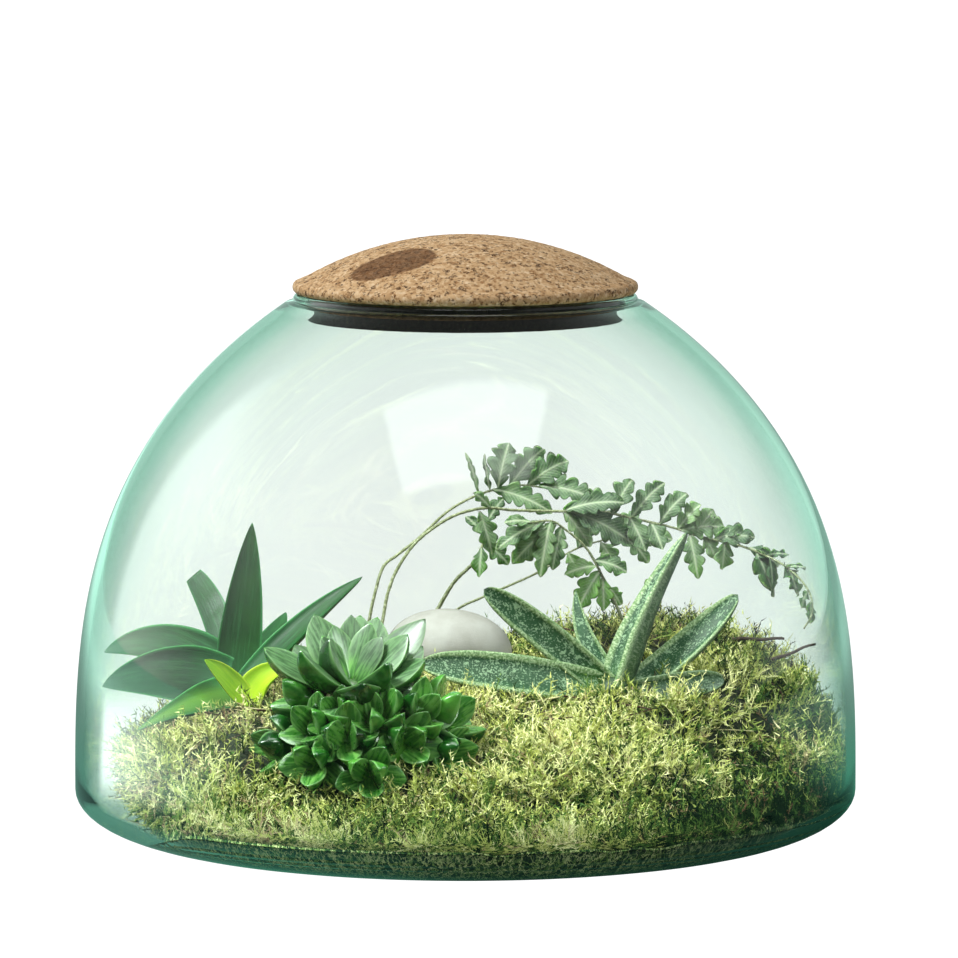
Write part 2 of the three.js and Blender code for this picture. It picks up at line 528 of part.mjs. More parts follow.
// ---- fern ----
// Each frond: the run of its stem from the root up, the stem's radius, and its blades
// [foot x, y, z, tip x, y, z, width, lobes on each side].
const FRONDS = {
  frond_upper: {
    stem: [[-36, 47, 52], [-36, 48, 62], [-35, 48, 71], [-33, 50, 80], [-30, 52, 89], [-25, 54, 93], [-17, 57, 99],
      [-6, 58, 109], [6, 60, 115], [20, 61, 118], [35, 61, 116]],
    radius: 0.62,
    blades: [
      [12, 60, 117, 16, 61, 134, 8.6, 1], [5, 59.5, 114.6, 0.5, 56, 130, 2.6, 1], [9, 60, 116.2, 6.5, 58, 129, 3.4, 1],
      [16, 60.5, 117.3, 29, 62, 131, 8, 2], [23, 61, 118, 38, 60, 127, 8.4, 2], [27, 61, 117.6, 48, 59, 113.5, 7.6, 3],
      [10, 60, 116.5, 32, 56, 108.5, 7.2, 2],
    ],
  },
  frond_long: {
    stem: [[-32, 33, 52], [-32, 34, 62], [-30, 36, 72], [-28, 38, 82], [-24, 40, 91], [-17, 43, 100], [-5, 46, 108],
      [7, 48, 111], [18, 50, 110], [35, 51, 109.5], [49, 51, 109.5], [62, 49, 107], [76, 47, 104], [84, 45, 101.5],
      [92, 42, 100], [100, 39, 98.5], [111, 32, 95], [117, 26, 92], [122, 17, 88], [125, 12, 83], [125, 9, 77], [122, 7, 72]],
    radius: 0.6,
    blades: [
      [5, 47.5, 110, 10, 44, 94, 6, 2], [9, 48, 111, 3, 45, 117, 3.4, 1], [36, 51, 109.5, 58, 48, 113.5, 7.6, 3],
      [38, 51, 109.5, 63, 46, 97, 9, 3], [36, 51, 109.3, 46, 47, 96.5, 6, 2], [54, 50, 108.5, 61, 51, 121.5, 7, 1],
      [61, 49.5, 107.5, 73, 48, 120.5, 6.6, 2], [71, 48, 105, 81, 47, 117, 7, 2], [78, 46.5, 103.5, 86, 45, 113, 6.6, 1],
      [85, 45, 101.5, 91, 44, 111, 6, 1], [92, 42, 100, 99, 42, 104.5, 5, 1], [97, 40.5, 99.3, 105, 39, 101, 4, 1],
      [110, 33, 95.5, 119, 33, 96, 4.4, 1], [117, 26, 92, 124, 23, 92.5, 3.6, 1], [68, 48.5, 105.7, 72, 44, 96.5, 6, 1],
      [60, 49.5, 107.5, 66, 45, 95.5, 6.6, 2], [82, 45.7, 102, 85, 41, 86, 6, 2], [87, 44, 101, 92, 41, 93, 5, 1],
      [95, 41, 99.6, 94, 37, 89.5, 7, 1], [111, 32, 95, 113, 28, 80.5, 5, 2], [118, 24, 91.3, 120.5, 20, 83.5, 4, 1],
      [124, 14, 85, 121, 11, 79, 3, 1],
    ],
  },
  frond_inner: {
    stem: [[-14, 67, 54], [-14, 66, 63], [-10, 64.5, 72], [-4, 64, 82], [3, 65, 89], [7, 66, 97], [8, 67, 104]],
    radius: 0.85,
    blades: [
      [7.5, 66.2, 98, 0, 64, 106, 3.6, 1], [7, 66, 96, 16, 64, 88, 5.4, 1], [6, 65.5, 94.5, 5, 63, 84, 5, 1],
      [8, 67, 103, 14, 66, 113, 5, 1],
    ],
  },
  frond_rear: {
    stem: [[-9, 79, 55], [-8, 78, 63], [-3, 77, 70], [7, 76, 75], [27, 76, 84], [40, 78, 92], [53, 79, 96], [63, 80, 97]],
    radius: 0.5,
    blades: [
      [42, 78, 92.8, 46, 77, 104, 6, 2], [50, 78.8, 95, 56, 77, 85, 6, 2], [57, 79.4, 96.4, 64, 79, 106, 6, 2],
      [61, 79.8, 96.8, 77, 79, 96, 6.4, 2], [60, 79.7, 96.8, 68, 78, 87, 5.4, 2], [38, 77.6, 91, 42, 76, 82, 5, 1],
    ],
  },
  frond_low: {
    stem: [[63, 42, 58], [61, 40, 64], [57, 38.5, 72], [54, 38, 79], [51, 37, 85], [47, 36, 93], [43, 35, 99], [36, 34, 105],
      [31, 33, 108], [23, 31, 107.5]],
    radius: 0.62,
    blades: [
      [29, 32.7, 108, 11, 31, 98, 6.4, 2], [33, 33.5, 107, 17, 30, 92, 8, 2], [31, 33, 108, 27, 29, 88, 6, 1],
      [35, 34, 105.8, 31.5, 30, 90.5, 6, 1], [48, 36.2, 91, 36, 33, 88.5, 5.4, 1], [49, 36.5, 89, 41, 32, 76, 7, 2],
      [50, 36.8, 87, 50.5, 32, 75, 5.6, 1], [47, 36, 93, 59, 38, 89, 6, 1], [52, 37.3, 83, 57, 41, 76, 4.6, 1],
      [24, 31.2, 107.6, 14, 30, 108, 4, 1],
    ],
  },
  seedling: {
    stem: [[65, 54, 66], [65.5, 54, 72], [68, 54, 77], [69, 53, 82]],
    radius: 0.5,
    blades: [[68, 54, 77, 71.5, 52, 80, 2.6, 0], [68.8, 53.3, 80.5, 66, 52, 84, 2.6, 0], [66.5, 54, 74, 63, 52, 76.5, 2.4, 0]],
  },
};

function stemSolid(run, radius) {
  const section = new THREE.Shape();
  for (let k = 0; k < STEM_SIDES; k++) {
    const a = (k * 2 * Math.PI) / STEM_SIDES;
    if (k === 0) section.moveTo(radius * Math.cos(a), radius * Math.sin(a));
    else section.lineTo(radius * Math.cos(a), radius * Math.sin(a));
  }
  section.closePath();
  const path = new THREE.CatmullRomCurve3(run.map(V), false, "centripetal");
  return solid(new THREE.ExtrudeGeometry(section, { steps: Math.round(run.length * 1.4), bevelEnabled: false, extrudePath: path }));
}

// A thin arched blade, cut into lobes towards its rib. Both faces are split into triangles alike.
function lobedBlade([fx, fy, fz, tx, ty, tz, width, lobes], turn) {
  const [foot, tip] = [new THREE.Vector3(fx, fy, fz), new THREE.Vector3(tx, ty, tz)];
  const reach = foot.distanceTo(tip);
  tip.y += turn * SWAY * reach;
  const face = new THREE.Vector3(0.35 * turn, -0.8, 0.45 - 0.2 * turn);
  const mid = foot.clone().lerp(tip, 0.5).add(new THREE.Vector3(0, -0.04, 0.1).multiplyScalar(reach * 0.6));
  const frame = spine({ foot: foot.toArray(), mid: mid.toArray(), tip: tip.toArray(), face: face.toArray() });
  const stations = [[0, 0.12], [0.16, 0.34]];
  for (let k = 0; k < lobes; k++) {
    const step = LOBES.span / lobes;
    const start = LOBES.from + step * k;
    const full = 1 - LOBES.taper * k;
    stations.push([start + step * LOBES.widest, full], [start + step * LOBES.notch, full * LOBES.deep]);
  }
  stations.push([0.86, lobes ? 0.58 : 0.9]);
  const rings = stations.map(([t, w]) => {
    const { at, up, side } = frame(t);
    const half = (width * FULLER * w) / 2;
    const lift = half * 0.2; // the blade is folded a little along its rib
    const point = (s, u) => at.clone().addScaledVector(side, s).addScaledVector(up, u);
    return [point(0, -BLADE / 2), point(-half, lift), point(0, BLADE / 2), point(half, lift)];
  });
  rings.push([tip]);
  return solid(skin(rings));
}

function frondSolid(name, ground) {
  const { stem, radius, blades } = FRONDS[name];
  const random = seeded(name.length * 31 + blades.length);
  const foot = [...ROOTS[name].at, lie(...ROOTS[name].at) + 0.5];
  const leaves = blades.map((blade) => lobedBlade(blade, random() * 2 - 1));
  return planted([stemSolid([foot, ...stem.slice(1)], radius), ...leaves], ROOTS[name], ground);
}

const TWIGS = [
  { name: "twig_long", run: [[98, 45, 0], [107, 43, 0], [116, 40, 0]], radius: 0.8 },
  { name: "twig_short", run: [[112, 33, 0], [120, 30, 0], [127, 26, 0]], radius: 0.7 },
];

// A twig lies on the moss, sunk in a little: what would be under the surface is left off.
function twigSolid({ run, radius }, ground) {
  const high = Math.max(...run.map(([x, y]) => mossTop(x, y)));
  return largest(stemSolid(run.map(([x, y], k) => [x, y, high + radius + 0.6 * k]), radius).subtract(ground));
}

// ---- the whole ----
const finish = {
  glass: { color: 0xbfe3d6, roughness: 0.05, metalness: 0, transparent: true, opacity: 0.35 },
  cork: { color: 0xc79c6b, roughness: 0.9, metalness: 0 },
  soil: { color: 0x3c2c20, roughness: 1, metalness: 0 },
  moss: { color: 0x8f9a3f, roughness: 1, metalness: 0 },
  stone: { color: 0xc9c3b8, roughness: 0.7, metalness: 0 },
  haworthia: { color: 0x2f7d32, roughness: 0.35, metalness: 0 },
  aloe: { color: 0x4f7f4a, roughness: 0.45, metalness: 0 },
  young: { color: 0xa9c43a, roughness: 0.45, metalness: 0 },
  gasteria: { color: 0x3d6b48, roughness: 0.5, metalness: 0 },
  fern: { color: 0x55784f, roughness: 0.6, metalness: 0 },
  twig: { color: 0x33261c, roughness: 0.9, metalness: 0 },
};

const group = new THREE.Group();
function place(name, geometry, look) {
  const mesh = new THREE.Mesh(closed(geometry), new THREE.MeshStandardMaterial(finish[look]));
  mesh.name = name;
  group.add(mesh);
}

place("glass_vessel", glassVessel(), "glass");
place("cork_lid", corkLid(), "cork");

const holes = join(Object.values(ROOTS).map((root) => rootPeg(root, BED.gap, HOLE_TOP)));
const soil = bedPiece({ radii: SOIL_RADII, top: soilTop, under: () => GLASS.floor + BED.gap, flat: true });
place("soil_bed", surface(soil.subtract(holes)), "soil");

const pit = pebble(BED.gap);
place("stone", surface(pebble()), "stone");
for (const { name, from } of MATS) {
  const mat = bedPiece({ radii: MAT_RADII, from, rays: BED.around / 4, top: mossTop, under: mossUnder, shy: 0.3 });
  place(name, surface(largest(mat.subtract(holes).subtract(pit))), "moss");
}
const middle = bedPiece({ radii: INNER_RADII, top: mossTop, under: mossUnder });
place("moss_centre", surface(largest(middle.subtract(holes).subtract(pit))), "moss");

const CLIP_RADII = [0, 14, 28, ...MAT_RADII.slice(1)];
const ground = bedPiece({ radii: CLIP_RADII, top: (x, y) => mossTop(x, y) + 0.5, under: () => -5, flat: true });

const offsets = planted(haworthiaOffsets(), ROOTS.haworthia, ground).subtract(haworthiaHead(HEAD.room));
place("haworthia_head", surface(haworthiaHead()), "haworthia");
place("haworthia_offsets", surface(largest(offsets)), "haworthia");

const aloeCore = solid(new THREE.SphereGeometry(ALOE_CORE.radius, 10, 6).translate(...ALOE_CORE.at));
place("aloe_rosette", surface(planted([aloeCore, ...aloeLeaves()], ROOTS.aloe, ground)), "aloe");
const youngLeaves = YOUNG.map((leaf) => fleshyLeaf(leaf, { shape: SMOOTH, ...leaf }));
place("aloe_young_leaves", surface(planted(youngLeaves, ROOTS.young, ground)), "young");

const gasteriaCore = solid(new THREE.SphereGeometry(GASTERIA_CORE.radius, 10, 6).translate(...GASTERIA_CORE.at));
const gasteriaLeaves = GASTERIA.map((leaf) => fleshyLeaf(leaf, { hollow: GASTERIA_HOLLOW, ...leaf }));
place("gasteria_rosette", surface(planted([gasteriaCore, ...gasteriaLeaves], ROOTS.gasteria, ground)), "gasteria");

for (const name of Object.keys(FRONDS)) {
  place(name === "seedling" ? name : `fern_${name}`, surface(frondSolid(name, ground)), "fern");
}
for (const twig of TWIGS) place(twig.name, surface(twigSolid(twig, ground)), "twig");

export default group;
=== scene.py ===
import json
import math

import bpy
import numpy as np
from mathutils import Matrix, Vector
from mathutils.bvhtree import BVHTree

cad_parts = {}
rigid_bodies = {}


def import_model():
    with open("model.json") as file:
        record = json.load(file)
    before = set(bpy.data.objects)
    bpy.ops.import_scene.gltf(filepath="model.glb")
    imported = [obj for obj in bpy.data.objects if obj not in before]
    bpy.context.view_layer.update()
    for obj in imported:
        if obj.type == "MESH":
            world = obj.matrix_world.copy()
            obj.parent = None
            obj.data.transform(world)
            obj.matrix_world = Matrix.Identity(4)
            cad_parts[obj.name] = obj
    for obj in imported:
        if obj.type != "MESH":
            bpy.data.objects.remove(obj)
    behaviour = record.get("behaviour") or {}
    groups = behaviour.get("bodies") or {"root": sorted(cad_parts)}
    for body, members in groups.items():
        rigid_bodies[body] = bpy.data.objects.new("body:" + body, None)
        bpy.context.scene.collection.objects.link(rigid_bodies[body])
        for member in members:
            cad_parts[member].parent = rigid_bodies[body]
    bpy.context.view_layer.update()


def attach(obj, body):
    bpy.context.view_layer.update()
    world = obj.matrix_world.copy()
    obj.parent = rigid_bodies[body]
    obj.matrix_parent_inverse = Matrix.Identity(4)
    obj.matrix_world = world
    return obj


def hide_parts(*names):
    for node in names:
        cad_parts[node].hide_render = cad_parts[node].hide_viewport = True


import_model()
mm = 0.001

# camera
camera = {
    "place": (0, -2.5, 0.402),  # metres
    "down": 6.28,  # degrees below level
    "imageSize": 958,
    "focalPixels": 7033,
    "middleColumn": 465.3,  # pixel column of the dome's axis
    "sensor": 36,
}


def aimCamera():
    data = bpy.data.cameras.new("camera")
    data.sensor_width = camera["sensor"]
    data.lens = camera["focalPixels"] / camera["imageSize"] * camera["sensor"]
    data.clip_end = 100
    eye = bpy.data.objects.new("camera", data)
    eye.location = camera["place"]
    turn = math.atan((camera["imageSize"] / 2 - camera["middleColumn"]) / camera["focalPixels"])
    eye.rotation_euler = (math.radians(90 - camera["down"]), 0, -turn)
    bpy.context.scene.collection.objects.link(eye)
    bpy.context.scene.camera = eye


aimCamera()
print("camera placed")


# materials: sockets as Python values
def paint(r, g, b):
    # a colour as it looks on a screen, 0 to 255, for a colour socket
    def light(c):
        return c / 255 / 12.92 if c <= 10 else ((c / 255 + 0.055) / 1.055) ** 2.4

    return (light(r), light(g), light(b), 1)


class Wire:
    # One socket of a node tree. Sums with it add Math nodes.
    def __init__(self, tree, socket=None):
        self.tree = tree
        self.socket = socket

    def add(self, kind, settings=None, inputs=None, out=0):
        node = self.tree.nodes.new("ShaderNode" + kind)
        for name, value in (settings or {}).items():
            if name == "stops":
                self.setStops(node.color_ramp, value)
            else:
                setattr(node, name, value)
        for name, value in (inputs or {}).items():
            if isinstance(value, Wire):
                self.tree.links.new(value.socket, node.inputs[name])
            else:
                node.inputs[name].default_value = value
        return Wire(self.tree, node.outputs[out] if node.outputs else None)

    def setStops(self, ramp, stops):
        ramp.elements.remove(ramp.elements[1])
        ramp.elements[0].position, ramp.elements[0].color = stops[0]
        for place, shade in stops[1:]:
            ramp.elements.new(place).color = shade

    def maths(self, operation, *values):
        return self.add("Math", {"operation": operation}, dict(enumerate(values)))

    def ramp(self, *stops):
        return self.add("ValToRGB", {"stops": stops}, {"Fac": self})

    def over(self, low, high, toLow=0, toHigh=1):
        # low..high becomes toLow..toHigh, and no further
        values = {"Value": self, "From Min": low, "From Max": high, "To Min": toLow, "To Max": toHigh}
        return self.add("MapRange", {"interpolation_type": "SMOOTHSTEP"}, values)

    def mix(self, a, b, mode="MIX"):
        # self is the share of b
        return self.add("Mix", {"data_type": "RGBA", "blend_type": mode}, {0: self, 6: a, 7: b}, 2)

    def parts(self):
        return [self.add("SeparateXYZ", None, {0: self}, k) for k in range(3)]

    def stretched(self, x, y, z):
        return self.add("VectorMath", {"operation": "MULTIPLY"}, {0: self, 1: (x, y, z)})

    def shifted(self, other):
        return self.add("VectorMath", {"operation": "ADD"}, {0: self, 1: other})

    def noise(self, size, detail=3, rough=0.55, out=0):
        # self is a place in millimetres, and size is how large the patches are
        values = {"Vector": self, "Scale": 1 / size, "Detail": detail, "Roughness": rough}
        return self.add("TexNoise", None, values, out)

    def cells(self, size, out=0):
        return self.add("TexVoronoi", None, {"Vector": self, "Scale": 1 / size}, out)

    def larger(self, other):
        return self.maths("MAXIMUM", self, other)

    def mark(self, name, out="Vector"):
        # what the mesh holds under this name, at the point being shaded
        return self.add("Attribute", {"attribute_name": name}, None, out)

    def __add__(self, other):
        return self.maths("ADD", self, other)

    def __sub__(self, other):
        return self.maths("SUBTRACT", self, other)

    def __rsub__(self, other):
        return self.maths("SUBTRACT", other, self)

    def __mul__(self, other):
        return self.maths("MULTIPLY", self, other)

    def __truediv__(self, other):
        return self.maths("DIVIDE", self, other)

    def __pow__(self, other):
        return self.maths("POWER", self, other)

    def __abs__(self):
        return self.maths("ABSOLUTE", self)

    __radd__ = __add__
    __rmul__ = __mul__


def newTree(name):
    made = bpy.data.materials.new(name)
    made.use_nodes = True
    made.node_tree.nodes.clear()
    return made, Wire(made.node_tree)


def finish(name, recipe):
    # recipe gives the Principled sockets, with "height" and "relief" in millimetres for its bump
    made, start = newTree(name)
    place = start.add("TexCoord", None, None, "Object").stretched(1000, 1000, 1000)
    sockets = recipe(start, place)
    height, relief = sockets.pop("height", None), sockets.pop("relief", 0)
    if height:
        values = {"Height": height, "Distance": relief * mm, "Strength": 1}
        sockets["Normal"] = start.add("Bump", None, values)
    start.add("OutputMaterial", None, {"Surface": start.add("BsdfPrincipled", None, sockets)})
    return made


def leafSpots(start):
    # across -1..1, along 0..1 and a number of its own, for the point of a leaf being shaded
    return start.mark("leafPlace").parts()


def leafSpan(start):
    # the same point as millimetres across and along
    return start.mark("leafSpan")


def leafUpper(start):
    # 1 on the upper side of a leaf, and 0 on its underside
    return start.mark("leafUpper", "Fac")


# meshes
class Heap:
    # Gathers the points, faces and marks of many small forms, to make one piece of them.
    def __init__(self):
        self.points, self.quads, self.triangles, self.marks = [], [], [], {}
        self.count = 0

    def put(self, points, quads=(), triangles=(), marks=None):
        points = np.asarray(points, float).reshape(-1, 3)
        self.points.append(points)
        self.quads.append(np.asarray(quads, int).reshape(-1, 4) + self.count)
        self.triangles.append(np.asarray(triangles, int).reshape(-1, 3) + self.count)
        for name, values in (marks or {}).items():
            self.marks.setdefault(name, []).append(np.asarray(values, float).reshape(len(points), -1))
        self.count += len(points)

    def piece(self, name, look, slot, nodes=(), smooth=True):
        points = np.concatenate(self.points)
        quads, triangles = np.concatenate(self.quads), np.concatenate(self.triangles)
        mesh = bpy.data.meshes.new(name)
        mesh.vertices.add(len(points))
        mesh.vertices.foreach_set("co", (points * mm).ravel())
        mesh.loops.add(quads.size + triangles.size)
        mesh.loops.foreach_set("vertex_index", np.concatenate([quads.ravel(), triangles.ravel()]))
        mesh.polygons.add(len(quads) + len(triangles))
        starts = [np.arange(len(quads)) * 4, quads.size + np.arange(len(triangles)) * 3]
        mesh.polygons.foreach_set("loop_start", np.concatenate(starts))
        for mark, values in self.marks.items():
            values = np.concatenate(values)
            kind, field = ("FLOAT", "value") if values.shape[1] == 1 else ("FLOAT_VECTOR", "vector")
            mesh.attributes.new(mark, kind, "POINT").data.foreach_set(field, values.ravel())
        mesh.update(calc_edges=True)
        mesh.polygons.foreach_set("use_smooth", np.full(len(mesh.polygons), smooth))
        made = bpy.data.objects.new(name, mesh)
        bpy.context.scene.collection.objects.link(made)
        return dress(made, look, nodes)


def dress(made, look, nodes=()):
    made.data.materials.clear()
    made.data.materials.append(look)
    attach(made, "root")
    if nodes:
        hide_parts(*nodes)
    return made


def gridFaces(rows, columns, wrap):
    # quads of a grid of points stored row by row; wrap joins the last column to the first
    r, c = np.meshgrid(np.arange(rows - 1), np.arange(columns if wrap else columns - 1), indexing="ij")
    a, b = r * columns + c, r * columns + (c + 1) % columns
    return np.stack([a, b, b + columns, a + columns], -1).reshape(-1, 4)


def fan(first, count, hub, flip=False):
    a = first + np.arange(count)
    b = first + (np.arange(count) + 1) % count
    return np.stack([b, a, np.full(count, hub)] if flip else [a, b, np.full(count, hub)], -1)


def tube(heap, rings, marks=None, foot=None, tip=None):
    # rings: stations x points x 3, closed at both ends with a point
    stations, around = rings.shape[:2]
    points = rings.reshape(-1, 3)
    foot = rings[0].mean(0) if foot is None else foot
    tip = rings[-1].mean(0) if tip is None else tip
    last = stations * around
    caps = [fan(0, around, last, True), fan(last - around, around, last + 1)]
    full = {}
    for name, values in (marks or {}).items():
        values = np.asarray(values, float).reshape(last, -1)
        full[name] = np.concatenate([values, values[:1], values[-1:]])
    points = np.concatenate([points, [foot, tip]])
    heap.put(points, gridFaces(stations, around, True), np.concatenate(caps), full)


def smooth(table):
    # a curve through the table's points that never overshoots them
    xs, ys = np.array(table, float).T
    step = np.diff(ys) / np.diff(xs)
    slope = np.zeros(len(xs))
    slope[0], slope[-1] = step[0], step[-1]
    same = step[:-1] * step[1:] > 0
    slope[1:-1][same] = 2 / (1 / step[:-1][same] + 1 / step[1:][same])

    def value(x):
        x = np.clip(np.asarray(x, float), xs[0], xs[-1])
        k = np.clip(np.searchsorted(xs, x, side="right") - 1, 0, len(xs) - 2)
        h = xs[k + 1] - xs[k]
        t = (x - xs[k]) / h
        start = (1 + 2 * t) * (1 - t) ** 2 * ys[k] + t * (1 - t) ** 2 * h * slope[k]
        return start + t * t * (3 - 2 * t) * ys[k + 1] + t * t * (t - 1) * h * slope[k + 1]

    return value


def unit(v):
    v = np.asarray(v, float)
    return v / np.linalg.norm(v, axis=-1, keepdims=True)


def alongLeaf(foot, mid, tip, face, t):
    # places, faces and sides along a leaf that bends from foot to tip through its middle
    foot, mid, tip = (np.array(p, float) for p in (foot, mid, tip))
    t = np.asarray(t, float)[:, None]
    handle = 2 * mid - (foot + tip) / 2
    at = (1 - t) ** 2 * foot + 2 * t * (1 - t) * handle + t * t * tip
    way = unit((1 - t) * (handle - foot) + t * (tip - handle) + 1e-9)
    up = np.array(face, float) - (way @ np.array(face, float))[:, None] * way
    up = unit(up)
    return at, way, up, np.cross(way, up)


def ripple(points, size, seed):
    # soft unevenness, about -1..1, from seven crossing waves
    rng = np.random.default_rng(seed)
    total = np.zeros(len(points))
    for _ in range(7):
        way = unit(rng.normal(size=3)) * 2 * math.pi / (size * rng.uniform(0.7, 1.6))
        total += np.sin(points @ way + rng.uniform(0, 6.3))
    return total / 3.2


# studio
studio = {
    "backdrop": 1.08,  # what shows behind the dome
    "ambient": 0.42,  # what lights the planting from all round
    "floorGlow": 1.13,
    "floorRadius": 30,  # metres
    "floorDrop": 0.0002,  # how far it lies under the foot
    # how bright what the glass mirrors is
    "mirrorBack": 0.10,  # from behind, and from in front
    "mirrorFront": 0.05,
    "mirrorSides": 0.45,
    "mirrorLow": 0.38,  # low down behind at the right
    "mirrorEdge": 0.62,  # the backdrop again, in glass seen edge on
    "mirrorFloor": 0.05,  # the floor, where nothing below is added to it
    "mirrorBehind": 0.42,
    "mirrorLeft": 0.9,
    "mirrorNear": 0.24,  # the floor close to the foot, and what is added to it at the right
    "mirrorRight": 0.16,
    "mirrorVeil": 0.8,  # a pale patch of floor at the left, which veils the moss
    # how green it is
    "edgeTint": (0.68, 1, 0.87, 1),
    "panelTint": (0.86, 1, 0.95, 1),
    "floorTint": (0.64, 1, 0.86, 1),
    "footTint": (0.24, 1, 0.68, 1),
    "footTintLeft": (0.42, 1, 0.80, 1),
    "leftPanel": {"from": -2.38, "full": -2.27, "easing": -2.1, "gone": -1.4, "top": 0.62, "glow": 1.08},
    "topPanel": {"left": -0.37, "right": 0.36, "far": -0.055, "near": -0.64, "skew": 0.30, "glow": 1.8},
    "lamps": [
        # name, place, looks at, width, height, radiance, and what it lights
        ("key", (-0.72, -0.22, 1.10), (0, 0, 0.06), 0.30, 0.30, 130, "planting"),
        ("lidKey", (-0.72, -0.22, 1.10), (0, 0, 0.20), 0.30, 0.30, 39, "lid"),
        ("front", (0.50, -0.80, 0.90), (0, 0, 0.06), 0.35, 0.35, 26, "planting"),
        ("top", (0.05, 0.10, 1.30), (0, 0, 0.06), 0.80, 0.60, 6, "planting"),
        ("rim", (0.80, 0.45, 0.60), (0, 0, 0.08), 0.30, 0.50, 5, "planting"),
    ],
}
plainWhite = (1, 1, 1, 1)


def rayKinds(start):
    path = start.add("LightPath")
    kind = {o.name: Wire(start.tree, o) for o in path.socket.node.outputs}
    # a ray that was mirrored at any face of the glass is still a mirrored one when it leaves the glass
    once = kind["Glossy Depth"].over(0.2, 0.8)
    passing = kind["Is Camera Ray"].larger(kind["Is Transmission Ray"])
    seen = passing * (1 - once)
    mirrored = once * (1 - kind["Is Diffuse Ray"])
    return seen, mirrored, kind


def glowOf(seen, mirrored, straight, gloss):
    # one brightness where it is seen, one where it is mirrored, and one for what it lights
    return seen * straight + mirrored * gloss + (1 - seen) * (1 - mirrored) * studio["ambient"]


def window(value, low, high, soft):
    # 1 between low and high, with soft edges
    return value.over(low - soft, low + soft) * value.over(high + soft, high - soft)


def panelAcross(turn):
    # how bright the panel at the left is at each turn about the dome
    left = studio["leftPanel"]
    rest = 0.25 + 0.75 * turn.over(left["gone"], left["easing"])
    panel = turn.over(left["from"], left["full"]) * rest
    return panel * turn.over(left["gone"] + 0.5, left["gone"])


def lightWorld():
    world = bpy.data.worlds.new("studio")
    bpy.context.scene.world = world
    world.use_nodes = True
    world.node_tree.nodes.clear()
    start = Wire(world.node_tree)
    seen, mirrored, _ = rayKinds(start)
    x, y, z = start.add("TexCoord", None, None, "Generated").parts()
    gloss = y.over(0.25, -0.45, studio["mirrorBack"], studio["mirrorFront"])
    gloss = gloss + y.over(0.6, 0.9) * studio["mirrorEdge"]
    gloss = gloss + abs(x).over(0.30, 0.72) * z.over(0.12, 0.45) * studio["mirrorSides"]
    gloss = gloss + x.over(0.2, 0.5) * y.over(0.0, 0.3) * z.over(0.30, 0.12) * studio["mirrorLow"]
    left, top = studio["leftPanel"], studio["topPanel"]
    panel = panelAcross(start.maths("ARCTAN2", x, 0 - y)) * z.over(left["top"] + 0.12, left["top"] - 0.12)
    high = z.larger(0.05)
    u, w = x / high, y / high
    w = w - u * top["skew"] * 0.5
    lit = window(u, top["left"], top["right"], 0.02) * window(w, top["near"], top["far"], 0.04)
    lit = lit * z.over(0.1, 0.2)
    gloss = gloss + panel * left["glow"] + lit * top["glow"]
    level = glowOf(seen, mirrored, studio["backdrop"], gloss)
    edgeOn = mirrored * y.over(0.5, 0.9)
    tint = edgeOn.mix(plainWhite, studio["edgeTint"])
    shade = start.add("Background", None, {"Color": tint, "Strength": level})
    start.add("OutputWorld", None, {"Surface": shade})


def layFloor():
    made, start = newTree("floorWhite")
    seen, mirrored, _ = rayKinds(start)
    x, y, _ = start.add("TexCoord", None, None, "Object").parts()
    out = start.maths("SQRT", x * x + y * y)
    # about a point at the left, in front of the middle
    turn = start.maths("ARCTAN2", x + 0.12, 0 - y - 0.05)
    behind = (y / out + x.over(0, 0.2) * 0.09).over(0.82, 0.97) * out.over(0.15, 1.4)
    atLeft = x.over(-0.2, -0.7) * y.over(0.1, 0.5)
    atRight = out.over(0.45, 0.75) * x.over(0, 0.2)
    panel = panelAcross(turn) * (2.0 + turn.over(-1.9, -2.2) * 0.4) * out.over(0.17, 0.32) * (1 - atLeft)
    near = y.over(-0.02, 0.12) * out.over(1.6, 0.7) * (studio["mirrorNear"] + atRight * studio["mirrorRight"])
    ring = out.over(0.28, 0.15) * y.over(0.12, 0.02) * x.over(0.02, -0.08) * studio["mirrorNear"]
    veil = window(turn, -2.0, -1.2, 0.25) * out.over(0.17, 0.3) * out.over(0.62, 0.42)
    gloss = studio["mirrorFloor"] + (near + ring) + veil * studio["mirrorVeil"]
    gloss = gloss + behind * studio["mirrorBehind"] + atLeft * studio["mirrorLeft"]
    gloss = gloss + panel * studio["leftPanel"]["glow"]
    level = glowOf(seen, mirrored, studio["floorGlow"], gloss)
    foot = x.over(-0.07, -0.12).mix(studio["footTint"], studio["footTintLeft"])
    tint = out.over(0.16, 0.5).mix(foot, studio["floorTint"])
    tint = mirrored.mix(plainWhite, panel.mix(tint, studio["panelTint"]))
    glow = start.add("Emission", None, {"Color": tint, "Strength": level})
    start.add("OutputMaterial", None, {"Surface": glow})
    reach, low = studio["floorRadius"], -studio["floorDrop"]
    corners = [(a * reach, b * reach, low) for a, b in ((-1, -1), (1, -1), (1, 1), (-1, 1))]
    mesh = bpy.data.meshes.new("floor")
    mesh.from_pydata(corners, [], [(0, 1, 2, 3)])
    mesh.materials.append(made)
    floor = bpy.data.objects.new("floor", mesh)
    bpy.context.scene.collection.objects.link(floor)


